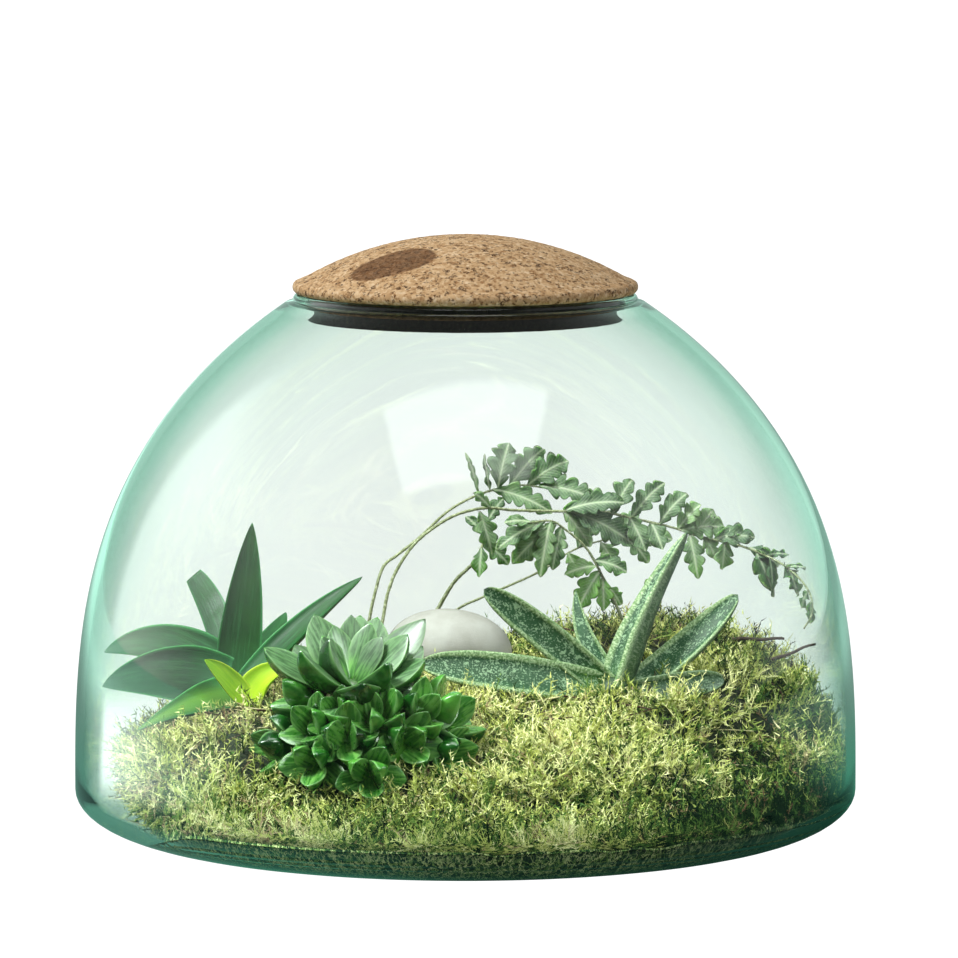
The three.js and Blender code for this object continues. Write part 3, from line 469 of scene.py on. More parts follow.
def hangLamps():
    # No lamp shines on the clear glass, whose reflections come from the world. The lid has a lamp of its own.
    pieces = bpy.context.scene.collection.objects
    groups = {name: bpy.data.collections.new(name) for name in ("planting", "lid", "shading")}
    for group, members in (("planting", ("vessel", "lid")), ("lid", ("lid",)), ("shading", ("lid",))):
        for name in members:
            groups[group].objects.link(pieces[name])
        for entry in groups[group].collection_objects:
            entry.light_linking.link_state = "INCLUDE" if group == "lid" else "EXCLUDE"
    for name, place, target, width, height, glow, lit in studio["lamps"]:
        data = bpy.data.lights.new(name, "AREA")
        data.shape, data.size, data.size_y = "RECTANGLE", width, height
        data.energy = glow * width * height * math.pi
        lamp = bpy.data.objects.new(name, data)
        lamp.location = place
        lamp.rotation_euler = (Vector(target) - Vector(place)).to_track_quat("-Z", "Y").to_euler()
        lamp.visible_camera = False
        lamp.visible_transmission = False
        lamp.light_linking.receiver_collection = groups[lit]
        if lit == "planting":
            # the lid casts no shadow over the plants
            lamp.light_linking.blocker_collection = groups["shading"]
        bpy.context.scene.collection.objects.link(lamp)


def setRender():
    scene = bpy.context.scene
    scene.view_settings.view_transform = "Standard"
    scene.view_settings.look = "None"
    scene.cycles.use_denoising = True
    scene.cycles.max_bounces = 24
    scene.cycles.diffuse_bounces = 4
    scene.cycles.glossy_bounces = 8
    scene.cycles.transmission_bounces = 20
    scene.cycles.transparent_max_bounces = 24
    scene.cycles.caustics_reflective = False
    scene.cycles.caustics_refractive = False
    scene.cycles.sample_clamp_indirect = 4


lightWorld()
layFloor()
setRender()
print("studio lit")

# glass vessel
glass = {
    "radius": 140,
    "wideFrom": 14.96,
    "closeOver": 203.04,
    "bulge": 2.887,
    "shoulder": 1.366,
    "heelHeight": 16.3,
    "footRadius": 105,
    "puntRadius": 68,
    "puntDepth": 1.2,
    "wall": 3,
    "floor": 2.6,
    "mouthHeight": 193.5,
    "mouthRadius": 61.5,
    "bead": 1.9,
    "around": 220,
    "unevenness": 0.007,  # of the blown inner face
    "density": 20,  # how fast the green deepens, per metre
    "tint": (0.18, 0.84, 0.50),
}
heelIn = {"r": glass["footRadius"] - 1, "top": glass["heelHeight"] + 1.2}
heelIn["reach"] = glass["radius"] - glass["wall"] - heelIn["r"]


def wallRadius(z):
    share = np.clip((np.asarray(z, float) - glass["wideFrom"]) / glass["closeOver"], 0, 0.9999)
    return glass["radius"] * (1 - share ** glass["bulge"]) ** (1 / glass["shoulder"])


def insideRadius(z):
    z = np.asarray(z, float)
    down = np.clip((heelIn["top"] - z) / (heelIn["top"] - glass["floor"]), 0, 1)
    low = heelIn["r"] + heelIn["reach"] * np.sqrt(1 - down * down)
    slope = wallRadius(z + 0.5) - wallRadius(z - 0.5)
    high = wallRadius(z) - glass["wall"] * np.sqrt(1 + slope * slope)
    return np.where(z < heelIn["top"], low, high)


def floorHeight(r):
    out = np.clip((np.asarray(r, float) - heelIn["r"]) / heelIn["reach"], 0, 1)
    return heelIn["top"] - (heelIn["top"] - glass["floor"]) * np.sqrt(1 - out * out)


def turnedRings(profile, around):
    # a profile of radius and height, turned about the upright axis
    angle = np.arange(around) * 2 * math.pi / around
    r, z = np.array(profile, float).T[..., None]
    return np.stack([r * np.cos(angle), r * np.sin(angle), np.broadcast_to(z, (len(r), around))], -1)


def heelRound(r, reach, top, rise, angles):
    return [(r + reach * math.sin(a), top - rise * math.cos(a)) for a in angles]


def glassProfile():
    # from under the foot, up the outside, over the rim and down the inside; and how much of it is outside
    quarter = np.linspace(0, math.pi / 2, 15)[1:-1]
    heights = np.concatenate([np.linspace(glass["heelHeight"], 150, 26), np.linspace(155, 190.2, 14)])
    outside = [(glass["puntRadius"] * k, glass["puntDepth"]) for k in (0.25, 0.5, 0.8, 0.93)]
    outside += [(glass["puntRadius"] + 2, 0.02), (glass["puntRadius"] + 8, 0), (glass["footRadius"], 0)]
    heelReach = glass["radius"] - glass["footRadius"]
    outside += heelRound(glass["footRadius"], heelReach, glass["heelHeight"], glass["heelHeight"], quarter)
    outside += [(float(wallRadius(z)), z) for z in heights]
    bead = glass["bead"]
    middle = (glass["mouthRadius"] - bead, glass["mouthHeight"] - bead)
    turns = np.linspace(-0.1, 1.12, 13) * math.pi
    outside += [(middle[0] + bead * math.cos(a), middle[1] + bead * math.sin(a)) for a in turns]
    inside = [(float(insideRadius(z)), z) for z in heights[::-1] if z > heelIn["top"]]
    rise = heelIn["top"] - glass["floor"]
    inside += heelRound(heelIn["r"], heelIn["reach"], heelIn["top"], rise, quarter[::-1])
    inside += [(heelIn["r"] * k, glass["floor"]) for k in (1, 0.75, 0.5, 0.25)]
    return outside + inside, len(outside)


def glassLook():
    made, start = newTree("greenGlass")
    _, _, kind = rayKinds(start)
    slant = start.add("LayerWeight", None, {"Blend": 0.5}, "Facing")
    tint = slant.ramp(
        (0.10, (0.955, 0.96, 0.955, 1)), (0.30, (0.945, 0.975, 0.965, 1)), (0.45, (0.945, 0.995, 0.975, 1)),
        (0.58, (0.91, 0.995, 0.955, 1)), (0.63, (0.86, 0.975, 0.93, 1)), (0.67, (0.74, 0.92, 0.85, 1)),
        (0.72, (0.64, 0.85, 0.77, 1)), (0.78, (0.46, 0.72, 0.62, 1)), (0.92, (0.20, 0.54, 0.42, 1)),
    )
    values = {"Base Color": tint, "Roughness": 0.0, "IOR": 1.5, "Transmission Weight": 1.0}
    body = start.add("BsdfPrincipled", None, values)
    clear = start.add("BsdfTransparent", None, {"Color": (0.985, 0.985, 0.985, 1)})
    through = kind["Is Shadow Ray"].larger(kind["Is Diffuse Ray"])
    surface = start.add("MixShader", None, {0: through, 1: body, 2: clear})
    values = {"Color": glass["tint"] + (1,), "Density": glass["density"]}
    volume = start.add("VolumeAbsorption", None, values)
    start.add("OutputMaterial", None, {"Surface": surface, "Volume": volume})
    return made


def makeVessel():
    profile, outsideRings = glassProfile()
    rings = turnedRings(profile, glass["around"])
    flat = rings.reshape(-1, 3)
    inner = np.repeat(np.arange(len(profile)) >= outsideRings, glass["around"])
    high = np.clip((flat[:, 2] - 20) / 30, 0, 1)  # none at the heel, full from 50 mm up
    shift = glass["unevenness"] * (ripple(flat * (1, 1, 0.35), 46, 3) - 1) * high * inner
    flat[:, :2] += unit(flat[:, :2] + 1e-9) * shift[:, None]
    heap = Heap()
    tube(heap, flat.reshape(rings.shape), None, (0, 0, glass["puntDepth"]), (0, 0, glass["floor"]))
    return heap.piece("vessel", glassLook(), "glass", ["glass_vessel"])


makeVessel()
print("glass blown")

# cork lid
lid = {
    "radius": 61.8,
    "edge": 2.2,
    "underside": 193.8,
    "top": 214.5,
    "crown": 114.8,
    "plugRadius": 56.7,
    "plugBottom": 183.2,
    "plugChamfer": 1.2,
    "around": 180,
    "voxel": 0.62,
}
scoop = {"at": (-20.5, -30, 205.5), "run": (0.884, 0.298, -0.357), "radius": 10.5, "length": 40}


def scoopDistance(points):
    # how far points lie from the line that the thumb hollow is swept along
    run = unit(scoop["run"])
    reach = np.clip((points - np.array(scoop["at"])) @ run, -scoop["length"], 0)
    return np.linalg.norm(points - np.array(scoop["at"]) - reach[:, None] * run, axis=1)


def corkLook(start, place):
    scooped = start.mark("scooped", "Fac")
    # everything below the lid's underside, the plug, is coloured near black: a painted shadow for the shade
    # under the lid
    plug = place.parts()[2].over(lid["underside"] + 0.4, lid["underside"] - 0.6)
    warped = place.shifted(place.noise(1.0, 2, out=1).stretched(0.9, 0.9, 0.9))
    grain = warped.cells(1.5, "Color").parts()[0]
    fine = warped.cells(0.7, "Color").parts()[1]
    tone = grain * 0.45 + fine * 0.30 + place.noise(11, 3) * 0.25
    tan = tone.ramp(
        (0.15, paint(150, 110, 70)),
        (0.4, paint(194, 158, 114)),
        (0.6, paint(208, 174, 131)),
        (0.85, paint(228, 202, 164)),
    )
    small = warped.cells(0.8, "Color").parts()[2]
    large = warped.stretched(1, 1, 1.5).cells(1.7, "Color").parts()[1]
    ragged = place.noise(0.55, 2)
    flecks = small.over(0.86, 0.90) * ragged.over(0.40, 0.50)
    chips = large.over(0.90, 0.93) * ragged.over(0.44, 0.52)
    dark = (flecks * 0.8).larger(chips)
    shade = (dark * 0.9).mix(tan, paint(62, 34, 16))
    # the thumb hollow is coloured dark brown: partly its coarser grain and partly painted shade inside the
    # hollow
    hollow = (large * 0.6 + fine * 0.4).ramp(
        (0.2, paint(62, 32, 12)), (0.6, paint(108, 72, 42)), (0.9, paint(136, 98, 64))
    )
    shade = (scooped * 0.85).mix(shade, hollow)
    # the painted shadow colour of the plug: near black with a trace of grain
    paintedShade = (tone * 0.6 + small * 0.4).ramp((0.2, paint(3, 3, 2)), (0.8, paint(28, 23, 16)))
    return {
        "Base Color": plug.mix(shade, paintedShade),
        "Roughness": 0.85,
        "Specular IOR Level": 0.2,
        "height": (1 - dark) * 0.7 + fine * 0.4 + ragged * 0.3,
        "relief": 0.22,
    }


def lidProfile():
    chamfer = lid["plugRadius"] - lid["plugChamfer"]
    plug = [(20, lid["plugBottom"]), (chamfer, lid["plugBottom"])]
    plug.append((lid["plugRadius"], lid["plugBottom"] + lid["plugChamfer"]))
    plug.append((lid["plugRadius"], lid["underside"]))
    middle = (lid["radius"] - lid["edge"], lid["underside"] + lid["edge"])
    turns = np.linspace(-0.5, 0.33, 12) * math.pi
    edge = [(middle[0] + lid["edge"] * math.cos(a), middle[1] + lid["edge"] * math.sin(a)) for a in turns]
    crownAt = lid["top"] - lid["crown"]
    crown = [(r, crownAt + math.sqrt(lid["crown"] ** 2 - r * r)) for r in np.linspace(57, 2, 26)]
    return plug + edge + crown


def scoopCutter(look):
    # a round-ended bar along the line that the thumb hollow is swept on
    at, run, radius = np.array(scoop["at"]), unit(scoop["run"]), scoop["radius"]
    side = unit(np.cross(run, (0, 0, 1)))
    over = np.cross(side, run)
    ring = np.linspace(0, 2 * math.pi, 49)[:-1]
    circle = np.cos(ring)[:, None] * side + np.sin(ring)[:, None] * over
    rings = []
    for a in np.linspace(-math.pi / 2, math.pi / 2, 24)[1:-1]:
        back = scoop["length"] if a < 0 else 0
        rings.append(at + run * (radius * math.sin(a) - back) + circle * radius * math.cos(a))
    heap = Heap()
    tube(heap, np.stack(rings), None, at - run * (scoop["length"] + radius), at + run * radius)
    return heap.piece("scoopCutter", look, "cork")


def pitLid(mesh):
    # small pits and grains, at the size of the pressed granules, and a mark on the thumb hollow, which is
    # coloured darker: partly its coarser grain and partly painted shade
    points = np.zeros(len(mesh.vertices) * 3)
    mesh.vertices.foreach_get("co", points)
    points = points.reshape(-1, 3) / mm
    inside = np.clip((scoop["radius"] + 0.9 - scoopDistance(points)) / 0.8, 0, 1)
    inside = inside * (points[:, 2] > lid["underside"])
    pits = 0.06 * ripple(points, 3.1, 5) + 0.05 * ripple(points, 1.7, 6)
    out = unit(points - np.array([0, 0, lid["underside"] - 40]))
    points += out * (pits - 0.12)[:, None]
    points[:, 2] = np.minimum(points[:, 2], lid["top"] - 0.02)
    mesh.vertices.foreach_set("co", (points * mm).ravel())
    mesh.attributes.new("scooped", "FLOAT", "POINT").data.foreach_set("value", inside)
    mesh.update()
    mesh.polygons.foreach_set("use_smooth", np.full(len(mesh.polygons), True))


def makeLid():
    heap = Heap()
    rings = turnedRings(lidProfile(), lid["around"])
    tube(heap, rings, None, (0, 0, lid["plugBottom"]), (0, 0, lid["top"]))
    blank = heap.piece("lid", finish("cork", corkLook), "cork", ["cork_lid"])
    cutter = scoopCutter(blank.data.materials[0])
    cut = blank.modifiers.new("cut", "BOOLEAN")
    cut.object, cut.operation, cut.solver = cutter, "DIFFERENCE", "EXACT"
    soften = blank.modifiers.new("soften", "REMESH")
    soften.mode, soften.voxel_size, soften.use_smooth_shade = "VOXEL", lid["voxel"] * mm, True
    ease = blank.modifiers.new("ease", "SMOOTH")
    ease.factor, ease.iterations = 0.5, 4
    ready = blank.evaluated_get(bpy.context.evaluated_depsgraph_get())
    shaped = bpy.data.meshes.new_from_object(ready)
    blank.modifiers.clear()
    blank.data = shaped
    bpy.data.objects.remove(cutter)
    pitLid(shaped)


makeLid()
print("lid turned")

# the bed
bed = {
    "mossDepth": 11,
    "soilShoulder": 103,
    "soilRadius": 108,
    "soilEdge": 3.7,
    "toGlass": 0.5,
    "pressed": 0.03,  # how far moss and soil are pressed onto the glass
    "gap": 0.4,
    "matInner": 28,
    "matSink": 0.8,  # how far the mats lie under the moss that is planted on them
    "reach": 134,
    "leastMoss": 3,
    "spread": 17,
}
# Heights of the planted ground at places across the bed: x, y, z.
lieHeights = np.array([
    (0, -122, 15), (-50, -112, 17), (52, -112, 15), (92, -86, 17), (116, -56, 21), (131, -15, 27),
    (129, 27, 42), (112, 56, 54), (86, 80, 59), (66, 60, 67), (40, 95, 54), (0, 112, 46), (13, 80, 52),
    (-45, 100, 42), (-86, 80, 34), (-113, 46, 26), (-131, 2, 14), (-106, 6, 38), (-125, -44, 16),
    (-100, -52, 40), (-83, -45, 46), (-92, -84, 28), (-33, -62, 37), (0, -86, 31), (33, -55, 39),
    (62, -62, 34), (52, 0, 49), (20, -12, 48), (-10, 0, 49), (-40, 20, 49), (-80, 8, 49), (88, 22, 53),
    (-6, 38, 51),
], float)
bare = {"at": 3.26, "half": 0.73, "from": 109.2, "share": 0.73}  # where the moss stops short of the wall
stone = {"at": (-6, 38, 60), "half": (23.5, 21, 15)}


def lie(x, y):
    x, y = np.asarray(x, float), np.asarray(y, float)
    away = (x[..., None] - lieHeights[:, 0]) ** 2 + (y[..., None] - lieHeights[:, 1]) ** 2
    weight = np.exp(-away / (2 * bed["spread"] ** 2))
    return (weight * lieHeights[:, 2]).sum(-1) / weight.sum(-1)


def hummock(x, y):
    return 1.3 * np.sin(x / 5.3 + 1.7 * np.sin(y / 7)) * np.cos(y / 6.1 + x / 19)


def mossTop(x, y):
    least = floorHeight(np.minimum(np.hypot(x, y), bed["reach"])) + bed["leastMoss"]
    high = np.maximum(lie(x, y) + hummock(x, y), least)
    # the moss keeps clear of the stone that is set in it
    dx, dy = (x - stone["at"][0]) / (stone["half"][0] + 1), (y - stone["at"][1]) / (stone["half"][1] + 1)
    under = stone["at"][2] - (stone["half"][2] + 1) * np.sqrt(np.clip(1 - dx * dx - dy * dy, 0, 1))
    return np.where(dx * dx + dy * dy < 1, np.minimum(high, under), high)


def pastSoil(x, y):
    return np.hypot(x, y) > bed["soilShoulder"] + 0.5


def soilTop(x, y):
    high = np.maximum(lie(x, y) - bed["mossDepth"], bed["soilEdge"] + 1)
    return np.where(pastSoil(x, y), bed["soilEdge"], high)


def mossUnder(x, y):
    # by the glass the mat is pressed on it, with no film of air between them
    onGlass = floorHeight(np.hypot(x, y)) - bed["pressed"]
    return np.where(pastSoil(x, y), onGlass, soilTop(x, y) + bed["gap"])


def bentAngle(angle, r):
    return angle + 0.1 * np.sin(r / 17 + 2 * angle)


def drawnIn(angle, r):
    off = np.arctan2(np.sin(angle - bare["at"]), np.cos(angle - bare["at"])) / bare["half"]
    share = np.where(np.abs(off) < 1, bare["share"] * np.cos(off * math.pi / 2) ** 2, 0)
    return np.where(r > bare["from"], bare["from"] + (r - bare["from"]) * (1 - share), r)


def bedPlaces(angles, radii):
    # the points of a net of rays and rings over the bed, drawn in where they would touch the glass
    a, r = np.meshgrid(angles, radii, indexing="ij")
    a = bentAngle(a, r)
    r = drawnIn(a, r)
    z = mossTop(r * np.cos(a), r * np.sin(a))
    limit = insideRadius(np.maximum(z, heelIn["top"])) - bed["toGlass"]
    r = np.where(r > bed["reach"] - 4, np.minimum(r, limit), r)
    return r * np.cos(a), r * np.sin(a)


def bedBlock(heap, angles, radii, top, under):
    # a closed block over a sector of the bed
    x, y = bedPlaces(angles, radii)
    rows, columns = x.shape
    upper = np.stack([x, y, top(x, y)], -1)
    lower = np.stack([x, y, np.minimum(under(x, y), upper[..., 2] - 0.5)], -1)
    points = np.concatenate([upper.reshape(-1, 3), lower.reshape(-1, 3)])
    grid = gridFaces(rows, columns, False)
    size = rows * columns
    number = np.arange(size).reshape(rows, columns)
    rim = np.concatenate([number[0, :-1], number[:-1, -1], number[-1, :0:-1], number[:0:-1, 0]])
    following = np.roll(rim, -1)
    walls = np.stack([rim, rim + size, following + size, following], -1)
    heap.put(points, np.concatenate([grid[:, ::-1], grid + size, walls]))


def soilLook(start, place):
    crumbs = place.noise(1.6, 4, 0.7)
    shade = crumbs.ramp((0.25, paint(24, 17, 12)), (0.55, paint(58, 42, 30)), (0.8, paint(96, 74, 54)))
    low = place.parts()[2].over(3.6, 3.0)  # green where it meets the glass: a painted green of the glass base, not the soil's own colour
    shade = low.mix(shade, paint(44, 110, 78))
    return {"Base Color": shade, "Roughness": 0.95, "height": crumbs, "relief": 1.2}


def makeSoil():
    def crumbly(x, y):
        return soilTop(x, y) - 0.5 + 0.35 * np.sin(x * 1.9 + np.sin(y)) * np.cos(y * 2.3)

    def underside(x, y):
        return np.full_like(x, glass["floor"] - bed["pressed"])

    heap = Heap()
    angles = np.linspace(0, 2 * math.pi, 97)
    radii = np.concatenate([np.linspace(0.5, bed["soilShoulder"], 40), [bed["soilRadius"]]])
    bedBlock(heap, angles, radii, crumbly, underside)
    return heap.piece("soil", finish("soil", soilLook), "soil", ["soil_bed"])


def stoneLook(start, place):
    cloud = place.noise(16, 4)
    speck = place.noise(0.9, 3, 0.7)
    base = cloud.ramp(
        (0.3, paint(132, 130, 122)), (0.55, paint(150, 149, 142)), (0.75, paint(164, 164, 158))
    )
    grey = speck.over(0.62, 0.75).mix(base, paint(130, 126, 116))
    shade = speck.over(0.36, 0.26).mix(grey, paint(184, 184, 178))
    return {"Base Color": shade, "Roughness": 0.72, "height": speck + cloud, "relief": 0.12}


def roundNet(rows, columns):
    # points over a ball of radius 1, from its foot to its top, without the two ends
    down = np.linspace(0, math.pi, rows)[1:-1]
    around = np.linspace(0, 2 * math.pi, columns + 1)[:-1]
    d, a = np.meshgrid(down, around, indexing="ij")
    return np.sin(d) * np.cos(a), np.sin(d) * np.sin(a), -np.cos(d)


def footAndTop(at, half):
    # the foot and the top of such a ball
    return [np.array(at) + (0, 0, s * half[2]) for s in (-1, 1)]


def makeStone():
    x, y, z = roundNet(40, 72)
    lump = 1 + 0.03 * np.sin(3 * x + 1) * np.cos(2.5 * y) - 0.05 * x * z  # a worn, uneven egg
    half = stone["half"]
    points = np.stack([half[0] * x * lump, half[1] * y * lump, half[2] * z * (1 - 0.06 * x)], -1)
    heap = Heap()
    tube(heap, points + np.array(stone["at"]), None, *footAndTop(stone["at"], half))
    return heap.piece("stonePebble", finish("paleStone", stoneLook), "stone", ["stone"])


makeSoil()
makeStone()
hangLamps()
print("soil and stone laid")


# leaves
def leafRing(count, top, keel):
    # one cross-section, half width 1 and depth 1: top and keel give its heights over and under the edges
    x = -np.cos(np.arange(count) * math.pi / count)
    section = np.concatenate([np.stack([x, top(x)], -1), np.stack([-x, -keel(x)], -1)])
    return section, np.repeat([1.0, 0.0], count)


def putLeaf(heap, leaf, ring, widths, depths, seed, stations, cut=False):
    # lofts one fleshy leaf; ring is its cross-section, and widths and depths change along it
    t = np.linspace(0, 1, stations) if cut else np.linspace(0, 1, stations + 1)[:-1]
    t = t**0.9
    at, _, up, side = alongLeaf(leaf["foot"], leaf["mid"], leaf["tip"], leaf["face"], t)
    section, upperSide = ring
    across, height = section.T[:, None]
    s = across * (leaf["width"] / 2 * widths(t))[:, None]
    u = height * (leaf["depth"] * depths(t))[:, None]
    if leaf.get("hollow"):
        u = u - leaf["hollow"] * widths(t)[:, None] * (1 - across**4)
    rings = at[:, None] + side[:, None] * s[..., None] + up[:, None] * u[..., None]
    length = np.linalg.norm(np.diff(at, axis=0), axis=1).sum()
    own = leaf.get("own")
    if own is None:
        own = np.random.default_rng(seed).uniform(size=2)[1]
    along = np.broadcast_to(t[:, None], s.shape)
    marks = {
        "leafPlace": np.stack([np.broadcast_to(across, s.shape), along, np.full(s.shape, own)], -1),
        "leafSpan": np.stack([s, along * length, np.full(s.shape, own * 50) + upperSide * 9], -1),
        "leafUpper": np.broadcast_to(upperSide, s.shape),
    }
    tube(heap, rings, marks, None, None if cut else leaf["tip"])


def plainMarks(points, along=0.0, own=0.0):
    # the marks of cores, roots, stems and hairs, which have no places of a leaf
    zero = np.zeros(points.shape[:-1])
    place = np.stack([zero, zero + along, zero + own], -1)
    return {"leafPlace": place, "leafSpan": points, "leafUpper": zero}


def putBall(heap, at, half):
    # a plain core that leaves grow from
    points = np.array(at) + np.stack(roundNet(14, 24), -1) * np.array(half)
    tube(heap, points, plainMarks(points), *footAndTop(at, half))


roots = {
    "haworthia": ((-37, -64), 13, 20),
    "aloe": ((-82, 6), 6.5, 33),
    "young": ((-77.5, -12.5), 1.8, 40),
    "gasteria": ((54, -2), 5.5, 33),
    "frond_upper": ((-36, 47), 0.9, 41),
    "frond_long": ((-32, 33), 0.9, 41),
    "frond_inner": ((-14, 67), 1.2, 43),
    "frond_rear": ((-9, 79), 0.8, 44),
    "frond_low": ((63, 42), 0.9, 50),
    "seedling": ((65, 54), 0.8, 58),
}


def putRoot(heap, name):
    # the peg that carries a plant down through the moss
    (x, y), radius, bottom = roots[name]
    angle = np.linspace(0, 2 * math.pi, 17)[:-1]
    heights = np.linspace(bottom, float(lie(x, y)) + 2, 8)
    widths = radius * (1 - 0.25 * np.linspace(1, 0, 8))
    rings = np.stack([
        np.stack([x + w * np.cos(angle), y + w * np.sin(angle), np.full(16, h)], -1)
        for w, h in zip(widths, heights)
    ])
    tube(heap, rings, plainMarks(rings))


# crowded front succulent
haworthia = {
    "crown": (-40, -61, 60),
    "axis": (0.05, -0.42, 0.9),
    "width": 15.6,
    "depth": 7,
    "innerWidth": 10,
    "innerDepth": 5,
    "core": 7,
    "leavesEach": 6,  # on a small head
}
headTips = [
    (-70, -66, 75), (-53, -46, 84), (-57, -80, 76), (-47, -72, 79), (-37, -40, 83), (-31, -38, 82),
    (-14, -50, 83), (-20, -62, 79), (-14, -68, 71), (-10, -74, 57), (-27, -82, 72), (-35, -92, 66),
    (-44, -90, 54), (-15, -40, 72), (-60, -36, 72), (-40, -28, 70),
]
innerTips = [(-46, -52, 81), (-33, -53, 82), (-40, -47, 84), (-50, -58, 78), (-29, -59, 78)]
mound = {"at": (-35, -66, 38), "half": (25, 21, 18)}
offsetHeads = [
    # centre, the way it looks, size
    ((-57, -64, 57), (-0.7, -0.3, 0.6), 14), ((-53, -80, 49), (-0.3, -0.8, 0.5), 12),
    ((-65, -74, 41), (-0.9, -0.5, 0.1), 13), ((-52, -88, 38), (-0.3, -0.9, 0.2), 12),
    ((-41, -88, 46), (0, -1, 0.3), 13), ((-29, -80, 54), (0.1, -0.6, 0.7), 13),
    ((-20, -84, 44), (0.3, -0.9, 0.3), 13), ((-6, -66, 50), (0.8, -0.3, 0.6), 15),
    ((-33, -93, 34), (0, -1, 0.2), 12), ((-5, -76, 39), (0.8, -0.6, 0.2), 12),
    ((-17, -43, 49), (0.5, 0.7, 0.5), 14), ((-52, -42, 49), (-0.5, 0.8, 0.5), 14),
    ((-34, -84, 51), (-0.2, -0.9, 0.4), 12), ((-15, -76, 53), (0.4, -0.7, 0.6), 13),
    ((-44, -79, 53), (-0.2, -0.8, 0.6), 11),
]
boatWidth = smooth([
    (0, 0.5), (0.2, 0.78), (0.42, 0.97), (0.58, 1), (0.72, 0.9), (0.85, 0.62), (0.94, 0.3), (1, 0.04),
])
boatDepth = smooth([(0, 0.6), (0.3, 0.9), (0.6, 1), (0.8, 0.78), (0.93, 0.4), (1, 0.08)])
boatRing = leafRing(
    11, lambda x: 0.10 * (1 - x * x), lambda x: (1 - np.abs(x)) ** 0.9 * 0.45 + 0.55 * (1 - x * x)
)


def frostedLook(frost):
    def recipe(start, place):
        across, along, own = leafSpots(start)
        span = leafSpan(start)
        upper = leafUpper(start)
        stripes = span.stretched(1, 0.13, 1).noise(0.9, 2, 0.5)
        mottle = span.noise(2.2, 3)
        middle = 1 - abs(across)
        deep = (mottle * 0.45 + own * 0.55).ramp(
            (0.2, paint(6, 36, 8)), (0.5, paint(26, 88, 22)), (0.8, paint(92, 160, 60))
        )
        lively = along.over(0.55, 0.1).mix(deep, paint(74, 136, 26))
        under = (abs(across).over(0.78, 1.0) * 0.6).mix(lively, paint(132, 182, 108))
        frosted = stripes.over(0.40, 0.62).mix(paint(38, 80, 32), paint(84, 124, 76))
        frosted = (mottle.over(0.4, 0.7) * 0.3).mix(frosted, paint(112, 144, 102))
        fresh = stripes.over(0.42, 0.60).mix(paint(46, 112, 26), paint(104, 164, 66))
        face = (along.over(0.15, 0.55) * frost).mix(fresh, frosted)
        face = (middle.over(0.30, 0.0) * 0.5).mix(face, paint(128, 166, 108))
        shade = upper.mix(under, face)
        shade = (own.over(0.35, 0.0) * 0.4).mix(shade, paint(60, 110, 66), "MULTIPLY")
        height = stripes * 0.7 + mottle * 0.5
        return {
            "Base Color": shade,
            "Roughness": (mottle * 0.4 + upper * 0.6 * frost).over(0.1, 0.8, 0.20, 0.46),
            "Coat Weight": 0.5,
            "Coat Roughness": 0.22,
            "Subsurface Weight": 0.15,
            "Subsurface Radius": (0.3, 1.0, 0.15),
            "Subsurface Scale": 1.6 * mm,
            "height": height,
            "relief": 0.10,
        }

    return recipe


def makeHead():
    heap = Heap()
    crown = np.array(haworthia["crown"], float)
    sets = [
        # tips, width, depth, how far the middle sags, seed, stations
        (headTips, haworthia["width"], haworthia["depth"], 1.6, 100, 26),
        (innerTips, haworthia["innerWidth"], haworthia["innerDepth"], 0, 140, 20),
    ]
    for tips, width, depth, sag, seed, stations in sets:
        for k, tip in enumerate(tips):
            out = np.array(tip, float) - crown
            leaf = {
                "foot": crown + 0.1 * out,
                "mid": crown + 0.55 * out - (0, 0, sag),
                "tip": tip,
                "face": haworthia["axis"],
                "width": width,
                "depth": depth,
            }
            putLeaf(heap, leaf, boatRing, boatWidth, boatDepth, seed + k, stations)
    putBall(heap, crown - 4 * unit(haworthia["axis"]), (haworthia["core"],) * 3)
    look = finish("frostedLeaf", frostedLook(0.95))
    return heap.piece("crowdedHead", look, "haworthia", ["haworthia_head"])


def makeOffsets():
    heap = Heap()
    rng = np.random.default_rng(11)
    for number, (at, look, size) in enumerate(offsetHeads):
        axis = unit(look)
        across = unit(np.cross((0, 0, 1), axis))
        over = np.cross(axis, across)
        foot = np.array(at) - axis * size * 0.35
        for k in range(haworthia["leavesEach"]):
            # each leaf a golden turn on from the last, and leaning out further
            turn = k * 2.4 + rng.uniform() * 0.6
            lean = 0.25 + 0.19 * k
            around = across * math.cos(turn) + over * math.sin(turn)
            out = axis * math.cos(lean) + around * math.sin(lean)
            tip = foot + out * size * (1.1 + 0.2 * rng.uniform())
            leaf = {
                "foot": foot + out * 0.5,
                "mid": foot + (tip - foot) * 0.52 - axis * 0.9,
                "tip": tip,
                "face": look,
                "width": size * rng.uniform(0.66, 0.82),
                "depth": size * 0.42,
            }
            putLeaf(heap, leaf, boatRing, boatWidth, boatDepth, 200 + 10 * number + k, 20)
    putBall(heap, mound["at"], mound["half"])
    putRoot(heap, "haworthia")
    look = finish("glossyLeaf", frostedLook(0.30))
    return heap.piece("crowdedOffsets", look, "haworthia", ["haworthia_offsets"])


makeHead()
makeOffsets()
print("front succulent grown")

